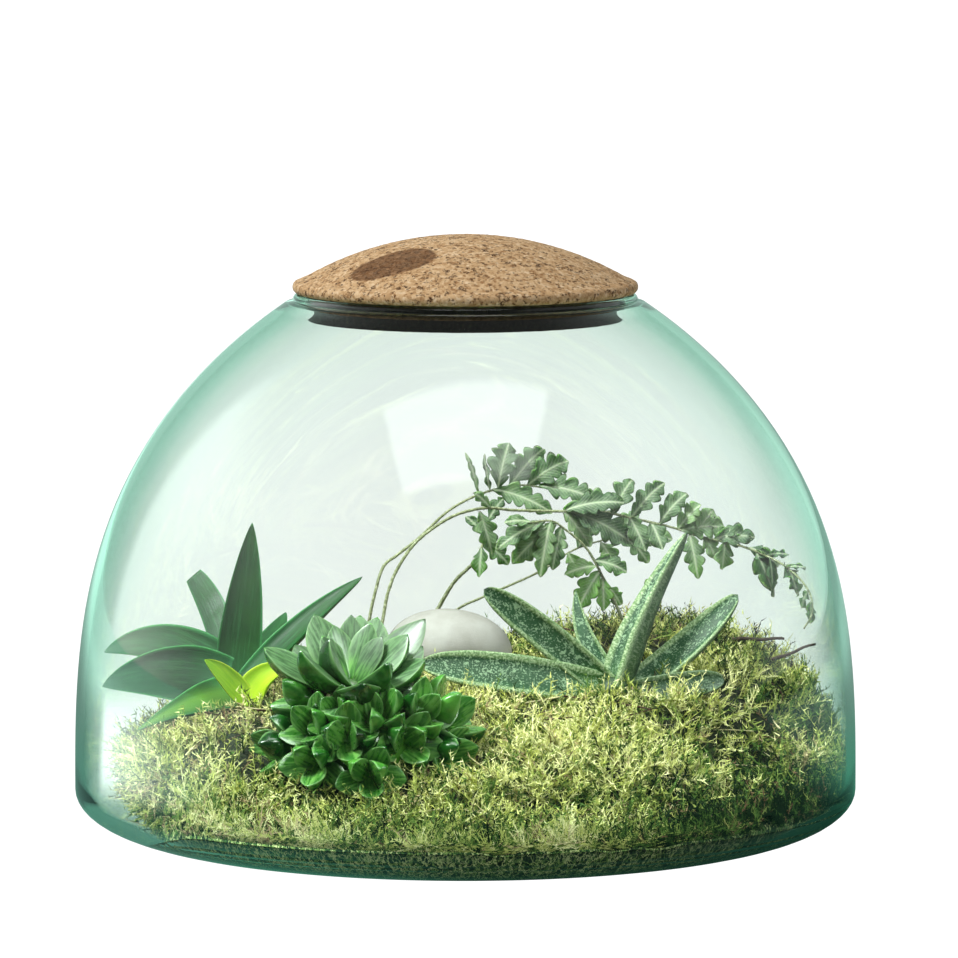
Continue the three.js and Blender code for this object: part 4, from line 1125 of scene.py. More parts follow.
# left succulent
leafKeys = ("foot", "mid", "tip", "face", "width", "depth", "hollow", "own", "form")
aloeCore = {"at": (-82.5, 6, 49.5), "half": (7.5, 7.5, 5.5)}
smoothWidth = smooth([(0, 0.85), (0.25, 1), (0.5, 0.86), (0.75, 0.56), (0.92, 0.24), (1, 0.02)])
smoothDepth = smooth([(0, 1), (0.4, 0.95), (0.75, 0.6), (0.95, 0.3), (1, 0.05)])
straightWidth = smooth([(0, 1), (0.3, 0.82), (0.6, 0.48), (0.85, 0.18), (1, 0.02)])
bluntWidth = smooth([(0, 0.8), (0.3, 1), (0.6, 0.95), (0.9, 0.76), (1, 0.62)])
bluntDepth = smooth([(0, 1), (0.6, 0.8), (1, 0.5)])
aloeForms = {
    "smooth": (smoothWidth, smoothDepth),
    "straight": (straightWidth, smoothDepth),
    "blunt": (bluntWidth, bluntDepth),
}
aloeRing = leafRing(10, lambda x: 0.12 * (1 - x * x), lambda x: (1 - x * x) ** 0.8)
# Each leaf: its foot, middle and tip, the way it faces, width, depth, hollow, its own shade and its form.
aloeLeaves = [
    ((-83, 10, 52), (-80, 15, 79), (-77, 20, 109), (0.15, -1, 0.1), 16, 3.5, 1.6, 0.46, "smooth"),
    ((-85, 18, 54), (-91, 38, 72), (-100, 51, 86), (-0.4, -0.9, 0.5), 11, 3, None, 0.35, "blunt"),
    ((-80, 6, 53), (-59, 9, 74), (-37, 14, 90), (-0.5, -0.6, 0.6), 12, 3.5, 2.0, 0.42, "smooth"),
    ((-85, 8, 54), (-108, 12, 66), (-131, 11, 63), (0, -0.7, 0.8), 22, 3.5, 2.6, 0.32, "smooth"),
    ((-85, 3, 53), (-108, -2, 57), (-130, -7, 53), (0, -0.9, 0.5), 23, 3.5, 2.4, 0.1, "smooth"),
    ((-80, -1, 51), (-97, -18, 49), (-116, -33, 41), (-0.3, -0.85, 0.6), 19, 3.5, 2.6, 0.9, "straight"),
    ((-81, 12, 52), (-72, 34, 64), (-66, 54, 72), (-0.2, -0.6, 0.8), 12, 3.5, 1, 0.4, "smooth"),
]
youngLeaves = [
    (
        (-77.5, -12.3, 48.5), (-85.5, -13, 58), (-93, -13, 63.5), (0.3, -0.7, 0.7),
        10, 2, 1.6, 0.4, "smooth",
    ),
    (
        (-78, -12.3, 48.5), (-72.5, -13.5, 57.5), (-62.5, -16, 61), (-0.3, -0.7, 0.8),
        14, 2, 2.2, 0.7, "smooth",
    ),
]


def smoothLeafLook(dark, light, rim, trench):
    # a leaf's own number slides it from dark to light
    def recipe(start, place):
        across, along, own = leafSpots(start)
        span = leafSpan(start)
        lines = span.stretched(1, 0.05, 1).noise(0.7, 2, 0.5)
        cloud = span.noise(8, 3)
        body = (own ** 1.6 + (cloud - 0.5) * 0.5).mix(paint(*dark), paint(*light))
        body = (along.over(0.35, 0.0) * 0.35).mix(body, paint(*rim))
        body = (lines.over(0.45, 0.68) * 0.22).mix(body, paint(*rim))
        body = (span.noise(0.5, 2).over(0.6, 0.72) * 0.3).mix(body, paint(*rim))
        trough = (1 - abs(across)).over(0.15, 0.75) * leafUpper(start) * own.over(0.5, 0.85)
        body = (trough * 0.6).mix(body, paint(*trench))
        # darker towards one edge: painted shade, to round the leaf
        paintedShade = (across.over(0.5, -0.9) * 0.45).mix(body, paint(*dark))
        shade = (abs(across).over(0.86, 0.97) * 0.6).mix(paintedShade, paint(*rim))
        return {
            "Base Color": shade,
            "Roughness": cloud.over(0.3, 0.7, 0.46, 0.58),
            "Specular IOR Level": 0.24,
            "Subsurface Weight": 0.12,
            "Subsurface Radius": (0.3, 1.0, 0.2),
            "Subsurface Scale": 1.6 * mm,
            "height": lines,
            "relief": 0.06,
        }

    return recipe


def putLeaves(heap, rows, ring, forms, seed, stations):
    for k, row in enumerate(rows):
        leaf = dict(zip(leafKeys, row))
        putLeaf(heap, leaf, ring, *forms[leaf["form"]], seed + k, stations, cut=leaf["form"] == "blunt")


def makeAloe():
    heap = Heap()
    putLeaves(heap, aloeLeaves, aloeRing, aloeForms, 300, 36)
    putBall(heap, **aloeCore)
    putRoot(heap, "aloe")
    look = finish("smoothLeaf", smoothLeafLook((4, 54, 24), (42, 98, 14), (62, 132, 78), (92, 134, 36)))
    heap.piece("spireRosette", look, "aloe", ["aloe_rosette"])
    heap = Heap()
    putLeaves(heap, youngLeaves, aloeRing, aloeForms, 320, 24)
    putRoot(heap, "young")
    lime = smoothLeafLook((84, 136, 6), (158, 188, 20), (188, 208, 56), (192, 210, 50))
    heap.piece("youngLeaves", finish("limeLeaf", lime), "young_leaf", ["aloe_young_leaves"])


makeAloe()
print("left succulent grown")

# right succulent
gasteriaCore = {"at": (54, -1, 49), "half": (7.5, 7.5, 7.5)}
strapWidth = smooth([
    (0, 0.8), (0.2, 0.95), (0.45, 1), (0.7, 0.92), (0.86, 0.72), (0.95, 0.46), (0.99, 0.22), (1, 0.1),
])
strapDepth = smooth([(0, 1), (0.45, 0.9), (0.75, 0.72), (0.92, 0.5), (1, 0.16)])
taperWidth = smooth([(0, 0.95), (0.2, 1), (0.45, 0.82), (0.7, 0.55), (0.9, 0.26), (1, 0.05)])
taperDepth = smooth([(0, 1), (0.3, 1), (0.6, 0.75), (0.9, 0.4), (1, 0.1)])
gasteriaForms = {"strap": (strapWidth, strapDepth), "taper": (taperWidth, taperDepth)}
gasteriaLeaves = [
    ((50, -4, 51.5), (17, -14, 58.5), (-16, -20, 63), (-0.1, -0.85, 0.5), 15.5, 5, 1.5, None, "strap"),
    ((53, -3, 50), (29, -6.5, 71), (6.5, -11, 88.5), (-0.5, -0.7, 0.6), 12, 5, 1.5, None, "strap"),
    ((53, 4, 52), (43, 13, 69), (40, 22, 84), (-0.2, -0.9, 0.3), 8.5, 2.5, 1.5, None, "taper"),
    ((52, -1, 48), (62, 4, 76), (80, 10, 107), (-0.95, -0.4, 0.2), 15, 8, 1.5, None, "taper"),
    ((56, 1, 49), (76, 5, 63), (98, 6, 84.5), (-0.35, -0.8, 0.6), 13, 5, 1.5, None, "strap"),
    ((56, -5, 50), (77, -9, 53.5), (92.5, -11, 56), (0, -0.9, 0.5), 10.5, 4, 1.5, 0.02, "strap"),
    ((53, 5, 51), (55, 24, 60), (58, 34, 72), (0, -0.5, 0.8), 9, 4, 1.5, None, "taper"),
]


def thickRing(count):
    # thick rounded edges, a shallow trough above and a keel below
    half = np.arange(count) * math.pi / count
    x = -np.cos(half)
    body = (1 - np.abs(x) ** 3.2) ** (1 / 3.2)
    lip = 0.30 * np.exp(-(((np.abs(x) - 0.84) / 0.15) ** 2))
    upper = np.stack([x, 0.22 * body + lip], -1)
    lower = np.stack([-x, -0.24 * body - 0.55 * (1 - np.abs(x)) ** 1.1], -1)
    return np.concatenate([upper, lower]), np.repeat([1.0, 0.0], count)


def spottedLook(start, place):
    across, along, own = leafSpots(start)
    span = leafSpan(start)
    upper = leafUpper(start)
    broad = span.stretched(1, 0.55, 1).noise(3.2, 2)
    specks = span.stretched(1, 0.8, 1).noise(0.62, 3, 0.65)
    blots = span.stretched(1, 0.7, 1).noise(1.25, 2, 0.6)
    flecks = (specks + broad * 0.32).over(0.70, 0.75)
    patches = (blots + broad * 0.40).over(0.80, 0.86)
    spots = (flecks * 0.8).larger(patches * 0.85)
    margin = abs(across).over(0.60, 0.76) * (upper * 0.5 + 0.5)
    body = span.noise(6, 3).mix(paint(16, 54, 28), paint(48, 94, 56))
    body = along.over(0.28, 0.0).mix(body, paint(54, 104, 30))
    shade = spots.mix(body, paint(150, 182, 144))
    pale = specks.over(0.42, 0.62).mix(paint(104, 138, 82), paint(184, 206, 160))
    shade = (margin * 0.85).mix(shade, pale)
    # the underside coloured darker: painted shade
    shade = ((1 - upper) * 0.55).mix(shade, paint(30, 58, 40))
    shade = (own.over(0.12, 0.0) * 0.7).mix(shade, paint(14, 44, 14))  # the leaf in the shade of the others
    return {
        "Base Color": shade,
        "Roughness": 0.5,
        "Specular IOR Level": 0.4,
        "height": spots * 0.7 + span.noise(0.7, 2) * 0.5,
        "relief": 0.14,
    }


def makeGasteria():
    heap = Heap()
    putLeaves(heap, gasteriaLeaves, thickRing(11), gasteriaForms, 400, 40)
    putBall(heap, **gasteriaCore)
    putRoot(heap, "gasteria")
    heap.piece("spottedRosette", finish("spottedLeaf", spottedLook), "gasteria", ["gasteria_rosette"])


makeGasteria()
print("right succulent grown")

# fern
# Each frond: the run of its stem, its radius and its blades: foot, tip, width, lobes on each side.
fronds = {
    "frond_upper": {
        "stem": [
            (-36, 47, 52), (-36, 48, 62), (-35, 48, 71), (-33, 50, 80), (-30, 52, 89), (-25, 54, 93),
            (-17, 57, 99), (-6, 58, 109), (6, 60, 115), (20, 61, 118), (35, 61, 116),
        ],
        "radius": 0.62,
        "blades": [
            (12, 60, 117, 16, 61, 134, 8.6, 1), (5, 59.5, 114.6, 0.5, 56, 130, 2.6, 1),
            (9, 60, 116.2, 6.5, 58, 129, 3.4, 1), (16, 60.5, 117.3, 29, 62, 131, 8, 2),
            (23, 61, 118, 38, 60, 127, 8.4, 2), (27, 61, 117.6, 48, 59, 113.5, 7.6, 3),
            (10, 60, 116.5, 32, 56, 108.5, 7.2, 2),
        ],
    },
    "frond_long": {
        "stem": [
            (-32, 33, 52), (-32, 34, 62), (-30, 36, 72), (-28, 38, 82), (-24, 40, 91), (-17, 43, 100),
            (-5, 46, 108), (7, 48, 111), (18, 50, 110), (35, 51, 109.5), (49, 51, 109.5), (62, 49, 107),
            (76, 47, 104), (84, 45, 101.5), (92, 42, 100), (100, 39, 98.5), (111, 32, 95),
            (117, 26, 92), (122, 17, 88), (125, 12, 83), (125, 9, 77), (122, 7, 72),
        ],
        "radius": 0.6,
        "blades": [
            (5, 47.5, 110, 10, 44, 94, 6, 2), (9, 48, 111, 3, 45, 117, 3.4, 1),
            (36, 51, 109.5, 58, 48, 113.5, 7.6, 3), (38, 51, 109.5, 63, 46, 97, 9, 3),
            (36, 51, 109.3, 46, 47, 96.5, 6, 2), (54, 50, 108.5, 61, 51, 121.5, 7, 1),
            (61, 49.5, 107.5, 73, 48, 120.5, 6.6, 2), (71, 48, 105, 81, 47, 117, 7, 2),
            (78, 46.5, 103.5, 86, 45, 113, 6.6, 1), (85, 45, 101.5, 91, 44, 111, 6, 1),
            (92, 42, 100, 99, 42, 104.5, 5, 1), (97, 40.5, 99.3, 105, 39, 101, 4, 1),
            (110, 33, 95.5, 119, 33, 96, 4.4, 1), (117, 26, 92, 124, 23, 92.5, 3.6, 1),
            (68, 48.5, 105.7, 72, 44, 96.5, 6, 1), (60, 49.5, 107.5, 66, 45, 95.5, 6.6, 2),
            (82, 45.7, 102, 85, 41, 86, 6, 2), (87, 44, 101, 92, 41, 93, 5, 1),
            (95, 41, 99.6, 94, 37, 89.5, 7, 1), (106, 36, 97, 112, 31, 83, 9, 2),
            (79, 46, 103, 95, 42, 104.5, 8, 2), (91, 42.3, 100.3, 106, 37, 101.5, 7, 1),
            (103, 38, 98, 115, 31, 92, 6, 1), (116, 27, 92.6, 122, 20, 82.5, 8, 1),
            (125, 11, 81, 124.5, 8, 74, 5, 1), (111, 32, 95, 113, 28, 80.5, 5, 2),
            (118, 24, 91.3, 120.5, 20, 83.5, 4, 1), (124, 14, 85, 121, 11, 79, 3, 1),
        ],
    },
    "frond_inner": {
        "stem": [
            (-14, 67, 54), (-14, 66, 63), (-10, 64.5, 72), (-4, 64, 82), (3, 65, 89), (7, 66, 97),
            (8, 67, 104),
        ],
        "radius": 0.85,
        "blades": [
            (7.5, 66.2, 98, 0, 64, 106, 3.6, 1), (7, 66, 96, 16, 64, 88, 5.4, 1),
            (6, 65.5, 94.5, 5, 63, 84, 5, 1), (8, 67, 103, 14, 66, 113, 5, 1),
        ],
    },
    "frond_rear": {
        "stem": [
            (-9, 79, 55), (-8, 78, 63), (-3, 77, 70), (7, 76, 75), (27, 76, 84), (40, 78, 92),
            (53, 79, 96), (63, 80, 97),
        ],
        "radius": 0.5,
        "blades": [
            (42, 78, 92.8, 46, 77, 104, 6, 2), (50, 78.8, 95, 56, 77, 85, 6, 2),
            (57, 79.4, 96.4, 64, 79, 106, 6, 2), (61, 79.8, 96.8, 77, 79, 96, 6.4, 2),
            (60, 79.7, 96.8, 68, 78, 87, 5.4, 2), (38, 77.6, 91, 42, 76, 82, 5, 1),
        ],
    },
    "frond_low": {
        "stem": [
            (63, 42, 58), (61, 40, 64), (57, 38.5, 72), (54, 38, 79), (51, 37, 85), (47, 36, 93),
            (43, 35, 99), (36, 34, 105), (31, 33, 108), (23, 31, 107.5),
        ],
        "radius": 0.62,
        "blades": [
            (29, 32.7, 108, 11, 31, 98, 6.4, 2), (33, 33.5, 107, 17, 30, 92, 8, 2),
            (31, 33, 108, 27, 29, 88, 6, 1), (35, 34, 105.8, 31.5, 30, 90.5, 6, 1),
            (48, 36.2, 91, 36, 33, 88.5, 5.4, 1), (49, 36.5, 89, 41, 32, 76, 7, 2),
            (50, 36.8, 87, 50.5, 32, 75, 5.6, 1), (47, 36, 93, 59, 38, 89, 6, 1),
            (52, 37.3, 83, 57, 41, 76, 4.6, 1), (24, 31.2, 107.6, 14, 30, 108, 4, 1),
        ],
    },
    "seedling": {
        "stem": [
            (65, 54, 66), (65.5, 54, 72), (68, 54, 77), (69, 53, 82),
        ],
        "radius": 0.5,
        "blades": [
            (68, 54, 77, 71.5, 52, 80, 2.6, 0), (68.8, 53.3, 80.5, 66, 52, 84, 2.6, 0),
            (66.5, 54, 74, 63, 52, 76.5, 2.4, 0),
        ],
    },
}
blade = {
    "thick": 0.34,
    "sway": 0.22,  # how far a tip leans off its plane, against its length
    "fuller": 1.42,
    "perLobe": 4.6,  # millimetres
    "fold": 0.22,
    "wave": 0.16,
    "droop": 0.10,
    "roll": 0.9,  # how far a dry blade rolls up
    "stations": 46,
    "across": 9,
}
dryEnd = {"from": 88, "over": 22}  # the long frond dries towards its end, to the right
bladeOutline = smooth([
    (0, 0.10), (0.14, 0.50), (0.32, 1.0), (0.55, 0.96), (0.76, 0.72), (0.9, 0.42), (0.97, 0.22), (1, 0.06),
])


def curveThrough(points, count):
    # a smooth run through given points, evenly spaced
    points = np.array(points, float)
    ends = np.concatenate([[2 * points[0] - points[1]], points, [2 * points[-1] - points[-2]]])
    fine = []
    for k in range(1, len(ends) - 2):
        t = np.linspace(0, 1, 13)[:-1, None]
        a, b, c, d = ends[k - 1 : k + 3]
        bend, twist = 2 * a - 5 * b + 4 * c - d, 3 * b - a - 3 * c + d
        fine.append(0.5 * (2 * b + (c - a) * t + bend * t**2 + twist * t**3))
    fine = np.concatenate([*fine, ends[-2:-1]])
    walked = np.concatenate([[0], np.cumsum(np.linalg.norm(np.diff(fine, axis=0), axis=1))])
    spaced = np.linspace(0, walked[-1], count)
    return np.stack([np.interp(spaced, walked, fine[:, k]) for k in range(3)], -1)


def sweep(heap, run, radii, around, marked, roughen, seed):
    # a round stem along a run of points
    way = unit(np.gradient(run, axis=0))
    side = unit(np.cross(way, (0.3, 0.9, 0.2)))
    up = np.cross(side, way)
    angle = np.arange(around) * 2 * math.pi / around
    rng = np.random.default_rng(seed)
    lumps = 1 + roughen * rng.normal(size=(len(run), around))
    r = (np.asarray(radii)[:, None] * lumps)[..., None]
    circle = np.cos(angle)[None, :, None] * side[:, None] + np.sin(angle)[None, :, None] * up[:, None]
    rings = run[:, None] + r * circle
    along = np.linspace(0, 1, len(run))[:, None]
    tube(heap, rings, plainMarks(rings, along, 0.5) if marked else None)


def putHairs(heap, run, radius, every, length, seed):
    # fine hairs that stand out from a stem
    rng = np.random.default_rng(seed)
    reach = np.linalg.norm(np.diff(run, axis=0), axis=1).sum()
    count = int(reach / every)
    t = rng.uniform(0.03, 0.97, count)
    index = t * (len(run) - 1)
    low = index.astype(int)
    at = run[low] + (run[low + 1] - run[low]) * (index - low)[:, None]
    way = unit(run[low + 1] - run[low])
    out = unit(np.cross(way, unit(rng.normal(size=(count, 3)))))
    lean = unit(out + 0.5 * way)
    side = np.cross(out, way)
    long = (length * rng.uniform(0.5, 1.3, count))[:, None]
    wide = 0.05
    root = at + out * radius * 0.6
    corners = [root + side * wide, root - side * wide, root + way * wide * 2, root + lean * long]
    points = np.stack(corners, 1)
    faces = np.array([(0, 1, 3), (1, 2, 3), (2, 0, 3), (0, 2, 1)])
    triangles = (np.arange(count)[:, None, None] * 4 + faces).reshape(-1, 3)
    heap.put(points, (), triangles, plainMarks(points, 0.5, 0.9))


def lobedShare(t, count, rng):
    # how far out one edge of a blade reaches at each place along it, cut back between its lobes
    shares = []
    for later in (0, 0.25):
        phase = rng.uniform(-0.15, 0.15)
        if not count:
            shares.append(np.ones_like(t))
            continue
        notch = np.abs(np.sin(math.pi * (np.clip(t, 0.1, 1) * count + phase + later))) ** 0.5
        shares.append(1 - np.clip(1.05 - 0.8 * t, 0.12, 0.6) * (1 - notch))
    return shares


def putBlade(heap, row, turn, seed, dry):
    # one lobed blade: a thin closed sheet, folded along its rib, waved at its edge, drooping at its tip
    foot, tip = np.array(row[:3], float), np.array(row[3:6], float)
    width, lobes = row[6], row[7]
    rng = np.random.default_rng(seed)
    reach = np.linalg.norm(tip - foot)
    tip = tip + (0, turn * blade["sway"] * reach, 0)
    face = (0.35 * turn, -0.8, 0.45 - 0.2 * turn)
    mid = (foot + tip) / 2 + np.array((0, -0.04, 0.1)) * reach * 0.6
    t = np.linspace(0, 1, blade["stations"])
    at, way, up, side = alongLeaf(foot, mid, tip, face, t)
    half = width * blade["fuller"] / 2 * bladeOutline(t) * (1 - 0.35 * dry)
    count = max(2, round(reach / blade["perLobe"])) if lobes else 0
    left, right = lobedShare(t, count, rng)
    x = np.linspace(-1, 1, blade["across"])
    t = t[:, None]
    s = x * (np.where(x < 0, left[:, None], right[:, None]) * half[:, None])
    forward = 0.4 * np.abs(s) * (1 - t**3)  # lobes point towards the tip
    waves, phase = rng.uniform(9, 15), rng.uniform(0, 6)
    wave = blade["wave"] * width * np.sin(t * waves + 2.2 * x + phase) * x**2
    droop = blade["droop"] * reach * t**2 * (0.4 + dry)
    lift = blade["fold"] * np.abs(s) + wave * (1 + 1.5 * dry) - droop
    lift = lift + dry * blade["roll"] * np.sin(2.4 * t) * s
    sheet = at[:, None] + side[:, None] * s[..., None] + up[:, None] * lift[..., None]
    sheet = sheet + way[:, None] * forward[..., None]
    thin = (blade["thick"] / 2 * (1 - x**2) * np.clip(6 * (1 - t), 0.2, 1))[..., None]
    upper, lower = sheet + up[:, None] * thin, sheet - up[:, None] * thin
    # the edge points are shared, so that the two faces close on each other
    rings = np.concatenate([upper, lower[:, -2:0:-1]], 1)
    across = np.concatenate([x, x[-2:0:-1]])[None] + 0 * t
    along = t + 0 * across
    own = np.full(across.shape, rng.uniform())
    spread = np.concatenate([s, s[:, -2:0:-1]], 1)
    marks = {
        "leafPlace": np.stack([across, along, own], -1),
        "leafSpan": np.stack([spread, along * reach, own * 40 + 3 * dry], -1),
        "leafUpper": np.concatenate([np.ones(s.shape), np.zeros((len(t), len(x) - 2))], 1),
    }
    tube(heap, rings, marks)


def fernLook(start, place):
    across, along, own = leafSpots(start)
    span = leafSpan(start)
    x, y, _ = span.parts()
    sideways, _, high = place.parts()
    rib = abs(x).over(0.6, 0.1)
    slant = (y - abs(x) * 0.9) * 0.62
    veins = abs(slant.maths("FRACT", slant) - 0.5).over(0.20, 0.06)
    feather = veins * abs(across).over(1.0, 0.3)
    speckle = span.noise(0.8, 3, 0.7)
    tone = span.noise(4, 2) * 0.6 + own * 0.4
    body = tone.ramp((0.25, paint(46, 72, 44)), (0.5, paint(78, 106, 70)), (0.75, paint(112, 138, 92)))
    fresh = tone.ramp((0.25, paint(56, 104, 26)), (0.6, paint(86, 134, 44)))
    body = high.over(96, 84).mix(body, fresh)
    body = (speckle.over(0.5, 0.72) * 0.5).mix(body, paint(132, 152, 114))
    pale = (feather * 0.32).mix(body, paint(150, 170, 136))
    spine = abs(across).over(0.45, 0.0) * along.over(1.0, 0.6)
    pale = (spine * 0.40).mix(pale, paint(160, 178, 146))
    # darker green towards the right: painted shade
    pale = (sideways.over(96, 112) * 0.75).mix(pale, paint(46, 76, 56))
    return {
        "Base Color": (rib * 0.6).mix(pale, paint(180, 192, 162)),
        "Roughness": 0.6,
        "Specular IOR Level": 0.3,
        "Subsurface Weight": 0.35,
        "Subsurface Radius": (0.5, 1.0, 0.3),
        "Subsurface Scale": 0.8 * mm,
        "height": rib * 0.8 + feather * 0.5 + speckle * 0.4,
        "relief": 0.14,
    }


def stemLook(start, place):
    speckle = place.noise(0.9, 3, 0.7)
    shade = speckle.ramp(
        (0.35, paint(96, 104, 70)), (0.55, paint(136, 146, 104)), (0.7, paint(200, 202, 178))
    )
    return {"Base Color": shade, "Roughness": 0.75, "height": speckle, "relief": 0.2}


def seedlingLook(start, place):
    _, along, _ = leafSpots(start)
    body = along.mix(paint(70, 128, 40), paint(120, 168, 66))
    return {"Base Color": body, "Roughness": 0.5, "height": place.noise(0.8, 2), "relief": 0.1}


def dryness(name, row):
    if name == "frond_long":
        return float(np.clip((row[0] - dryEnd["from"]) / dryEnd["over"], 0, 1))
    return 0.9 if name == "frond_upper" and row[6] < 4 else 0.0


def makeFern():
    look, stalk = finish("featheredBlade", fernLook), finish("hairyStem", stemLook)
    for number, (name, frond) in enumerate(fronds.items()):
        words = name.split("_")
        title = words[0] + "".join(w.capitalize() for w in words[1:])
        (rootX, rootY), _, _ = roots[name]
        foot = (rootX, rootY, float(lie(rootX, rootY)) + 0.5)
        run = curveThrough([foot, *frond["stem"][1:]], 14 * len(frond["stem"]))
        radii = frond["radius"] * np.linspace(1.1, 0.55, len(run))
        stems, leaves = Heap(), Heap()
        sweep(stems, run, radii, 8, True, 0.08, 500 + number)
        putHairs(stems, run, frond["radius"], 0.22, 0.9, 520 + number)
        putRoot(stems, name)
        rng = np.random.default_rng(540 + number)
        for k, row in enumerate(frond["blades"]):
            putBlade(leaves, row, rng.uniform(-1, 1), 560 + 40 * number + k, dryness(name, row))
        if name == "seedling":
            green = finish("seedlingLeaf", seedlingLook)
            stems.piece(title + "Stem", green, "young_leaf", [name])
            leaves.piece(title + "Leaves", green, "young_leaf", [name])
        else:
            stems.piece(title + "Stem", stalk, "fern", ["fern_" + name])
            leaves.piece(title + "Blades", look, "fern", ["fern_" + name])


makeFern()
print("fern grown")

# twigs
twigs = [
    # node, piece, run, radius
    ("twig_long", "twigLong", [(98, 45, 63), (107, 43, 63.5), (117, 40, 64)], 0.8),
    ("twig_short", "twigShort", [(112, 33, 57), (121, 30, 61), (128, 27, 64)], 0.7),
]


def barkLook(start, place):
    crust = place.noise(0.8, 4, 0.7)
    shade = crust.ramp((0.3, paint(24, 18, 14)), (0.6, paint(58, 44, 32)), (0.8, paint(104, 86, 66)))
    return {"Base Color": shade, "Roughness": 0.9, "height": crust, "relief": 0.35}


def makeTwigs():
    look = finish("darkBark", barkLook)
    for k, (node, title, places, radius) in enumerate(twigs):
        run = curveThrough(places, 40)
        run[:, 2] += 0.25 * np.sin(np.linspace(0, 9, 40) + k)
        heap = Heap()
        sweep(heap, run, radius * np.linspace(1, 0.6, 40), 9, False, 0.10, 600 + k)
        heap.piece(title, look, "twig", [node])


makeTwigs()
print("twigs laid")

# moss
moss = {
    "templates": 20,
    "leaves": 11,  # on a sprig
    "tall": (5.0, 11.5),  # millimetres
    "strand": 0.040,  # half its thickness, against its height
    "leafWidth": 0.030,
    "sideHeight": 44,  # of a mat against the glass, for its share of the sprigs
    "mostFaces": 190000,  # in one piece
}
mats = [
    # name, node, first and last angle in 36ths of a turn, pieces, inner radius
    ("Right", "moss_right", -4.5, 4.5, 2, bed["matInner"]),
    ("Back", "moss_back", 4.5, 13.5, 2, bed["matInner"]),
    ("Left", "moss_left", 13.5, 22.5, 1, bed["matInner"]),
    ("Front", "moss_front", 22.5, 31.5, 3, bed["matInner"]),
    ("Centre", "moss_centre", 0, 36, 1, 0),
]


def spike(foot, tip, wide, bend):
    # a narrow pointed leaf of three sides
    way = unit(tip - foot)
    side = unit(np.cross(way, bend))
    up = np.cross(side, way)
    base = [foot + side * wide, foot - side * wide * 0.8 + up * wide * 0.4, foot - up * wide * 0.6]
    return np.array([*base, tip])


def sprigTemplates():
    # each has the same count of points: a bent strand of three rings and a tip, then its leaves
    rng = np.random.default_rng(700)
    shapes = []
    heights = np.array([0, 0.4, 0.75, 1.0])
    for _ in range(moss["templates"]):
        bend = rng.normal(size=2) * 0.55
        axis = np.stack([bend[0] * heights**2, bend[1] * heights**2, heights * 0.94], -1)
        points = []
        for k in range(3):
            wide = moss["strand"] * (1 - 0.25 * k)
            for a in np.arange(3) * 2.1 + k:
                points.append(axis[k] + wide * np.array([math.cos(a), math.sin(a), 0]))
        points.append(axis[3])
        for k in range(moss["leaves"]):
            at = 0.2 + 0.78 * (k + rng.uniform()) / moss["leaves"]
            foot = np.array([np.interp(at, heights, axis[:, c]) for c in range(3)])
            turn = k * 2.4 + rng.uniform(-0.5, 0.5)
            lean = rng.uniform(0.45, 1.05)
            level = math.sin(lean)
            out = np.array([math.cos(turn) * level, math.sin(turn) * level, math.cos(lean)])
            long = rng.uniform(0.24, 0.44) * (1.2 - 0.6 * at)
            points.extend(spike(foot, foot + out * long, moss["leafWidth"], rng.normal(size=3)))
        shapes.append(points)
    faces = [(0, 2, 1), (6, 7, 9), (7, 8, 9), (8, 6, 9)]
    for a in (0, 3):
        for c in range(3):
            d = (c + 1) % 3
            faces += [(a + c, a + d, a + 3 + d), (a + c, a + 3 + d, a + 3 + c)]
    for k in range(moss["leaves"]):
        a = 10 + 4 * k
        faces += [(a, a + 1, a + 3), (a + 1, a + 2, a + 3), (a + 2, a, a + 3), (a, a + 2, a + 1)]
    return np.array(shapes), np.array(faces)


def keepInside(points):
    # presses points that would pass through the glass back against its inner face
    z = np.maximum(points[:, 2], glass["floor"] + 0.25)
    r = np.hypot(points[:, 0], points[:, 1])
    share = np.minimum(1, (insideRadius(z) - 0.3) / np.maximum(r, 1e-6))
    return np.stack([points[:, 0] * share, points[:, 1] * share, z], -1)


def plantTree():
    # everything that moss must not grow through
    names = [
        "crowdedHead", "crowdedOffsets", "spireRosette", "youngLeaves", "spottedRosette", "stonePebble",
    ]
    points, faces = [], []
    for name in names:
        mesh = bpy.data.objects[name].data
        start = len(points)
        points += [v.co / mm for v in mesh.vertices]
        faces += [[start + v for v in p.vertices] for p in mesh.polygons]
    return BVHTree.FromPolygons(points, faces)


def groundNormal(x, y):
    step = 0.8
    dx = (lie(x + step, y) - lie(x - step, y)) / (2 * step)
    dy = (lie(x, y + step) - lie(x, y - step)) / (2 * step)
    return unit(np.stack([-dx, -dy, np.ones_like(dx)], -1))


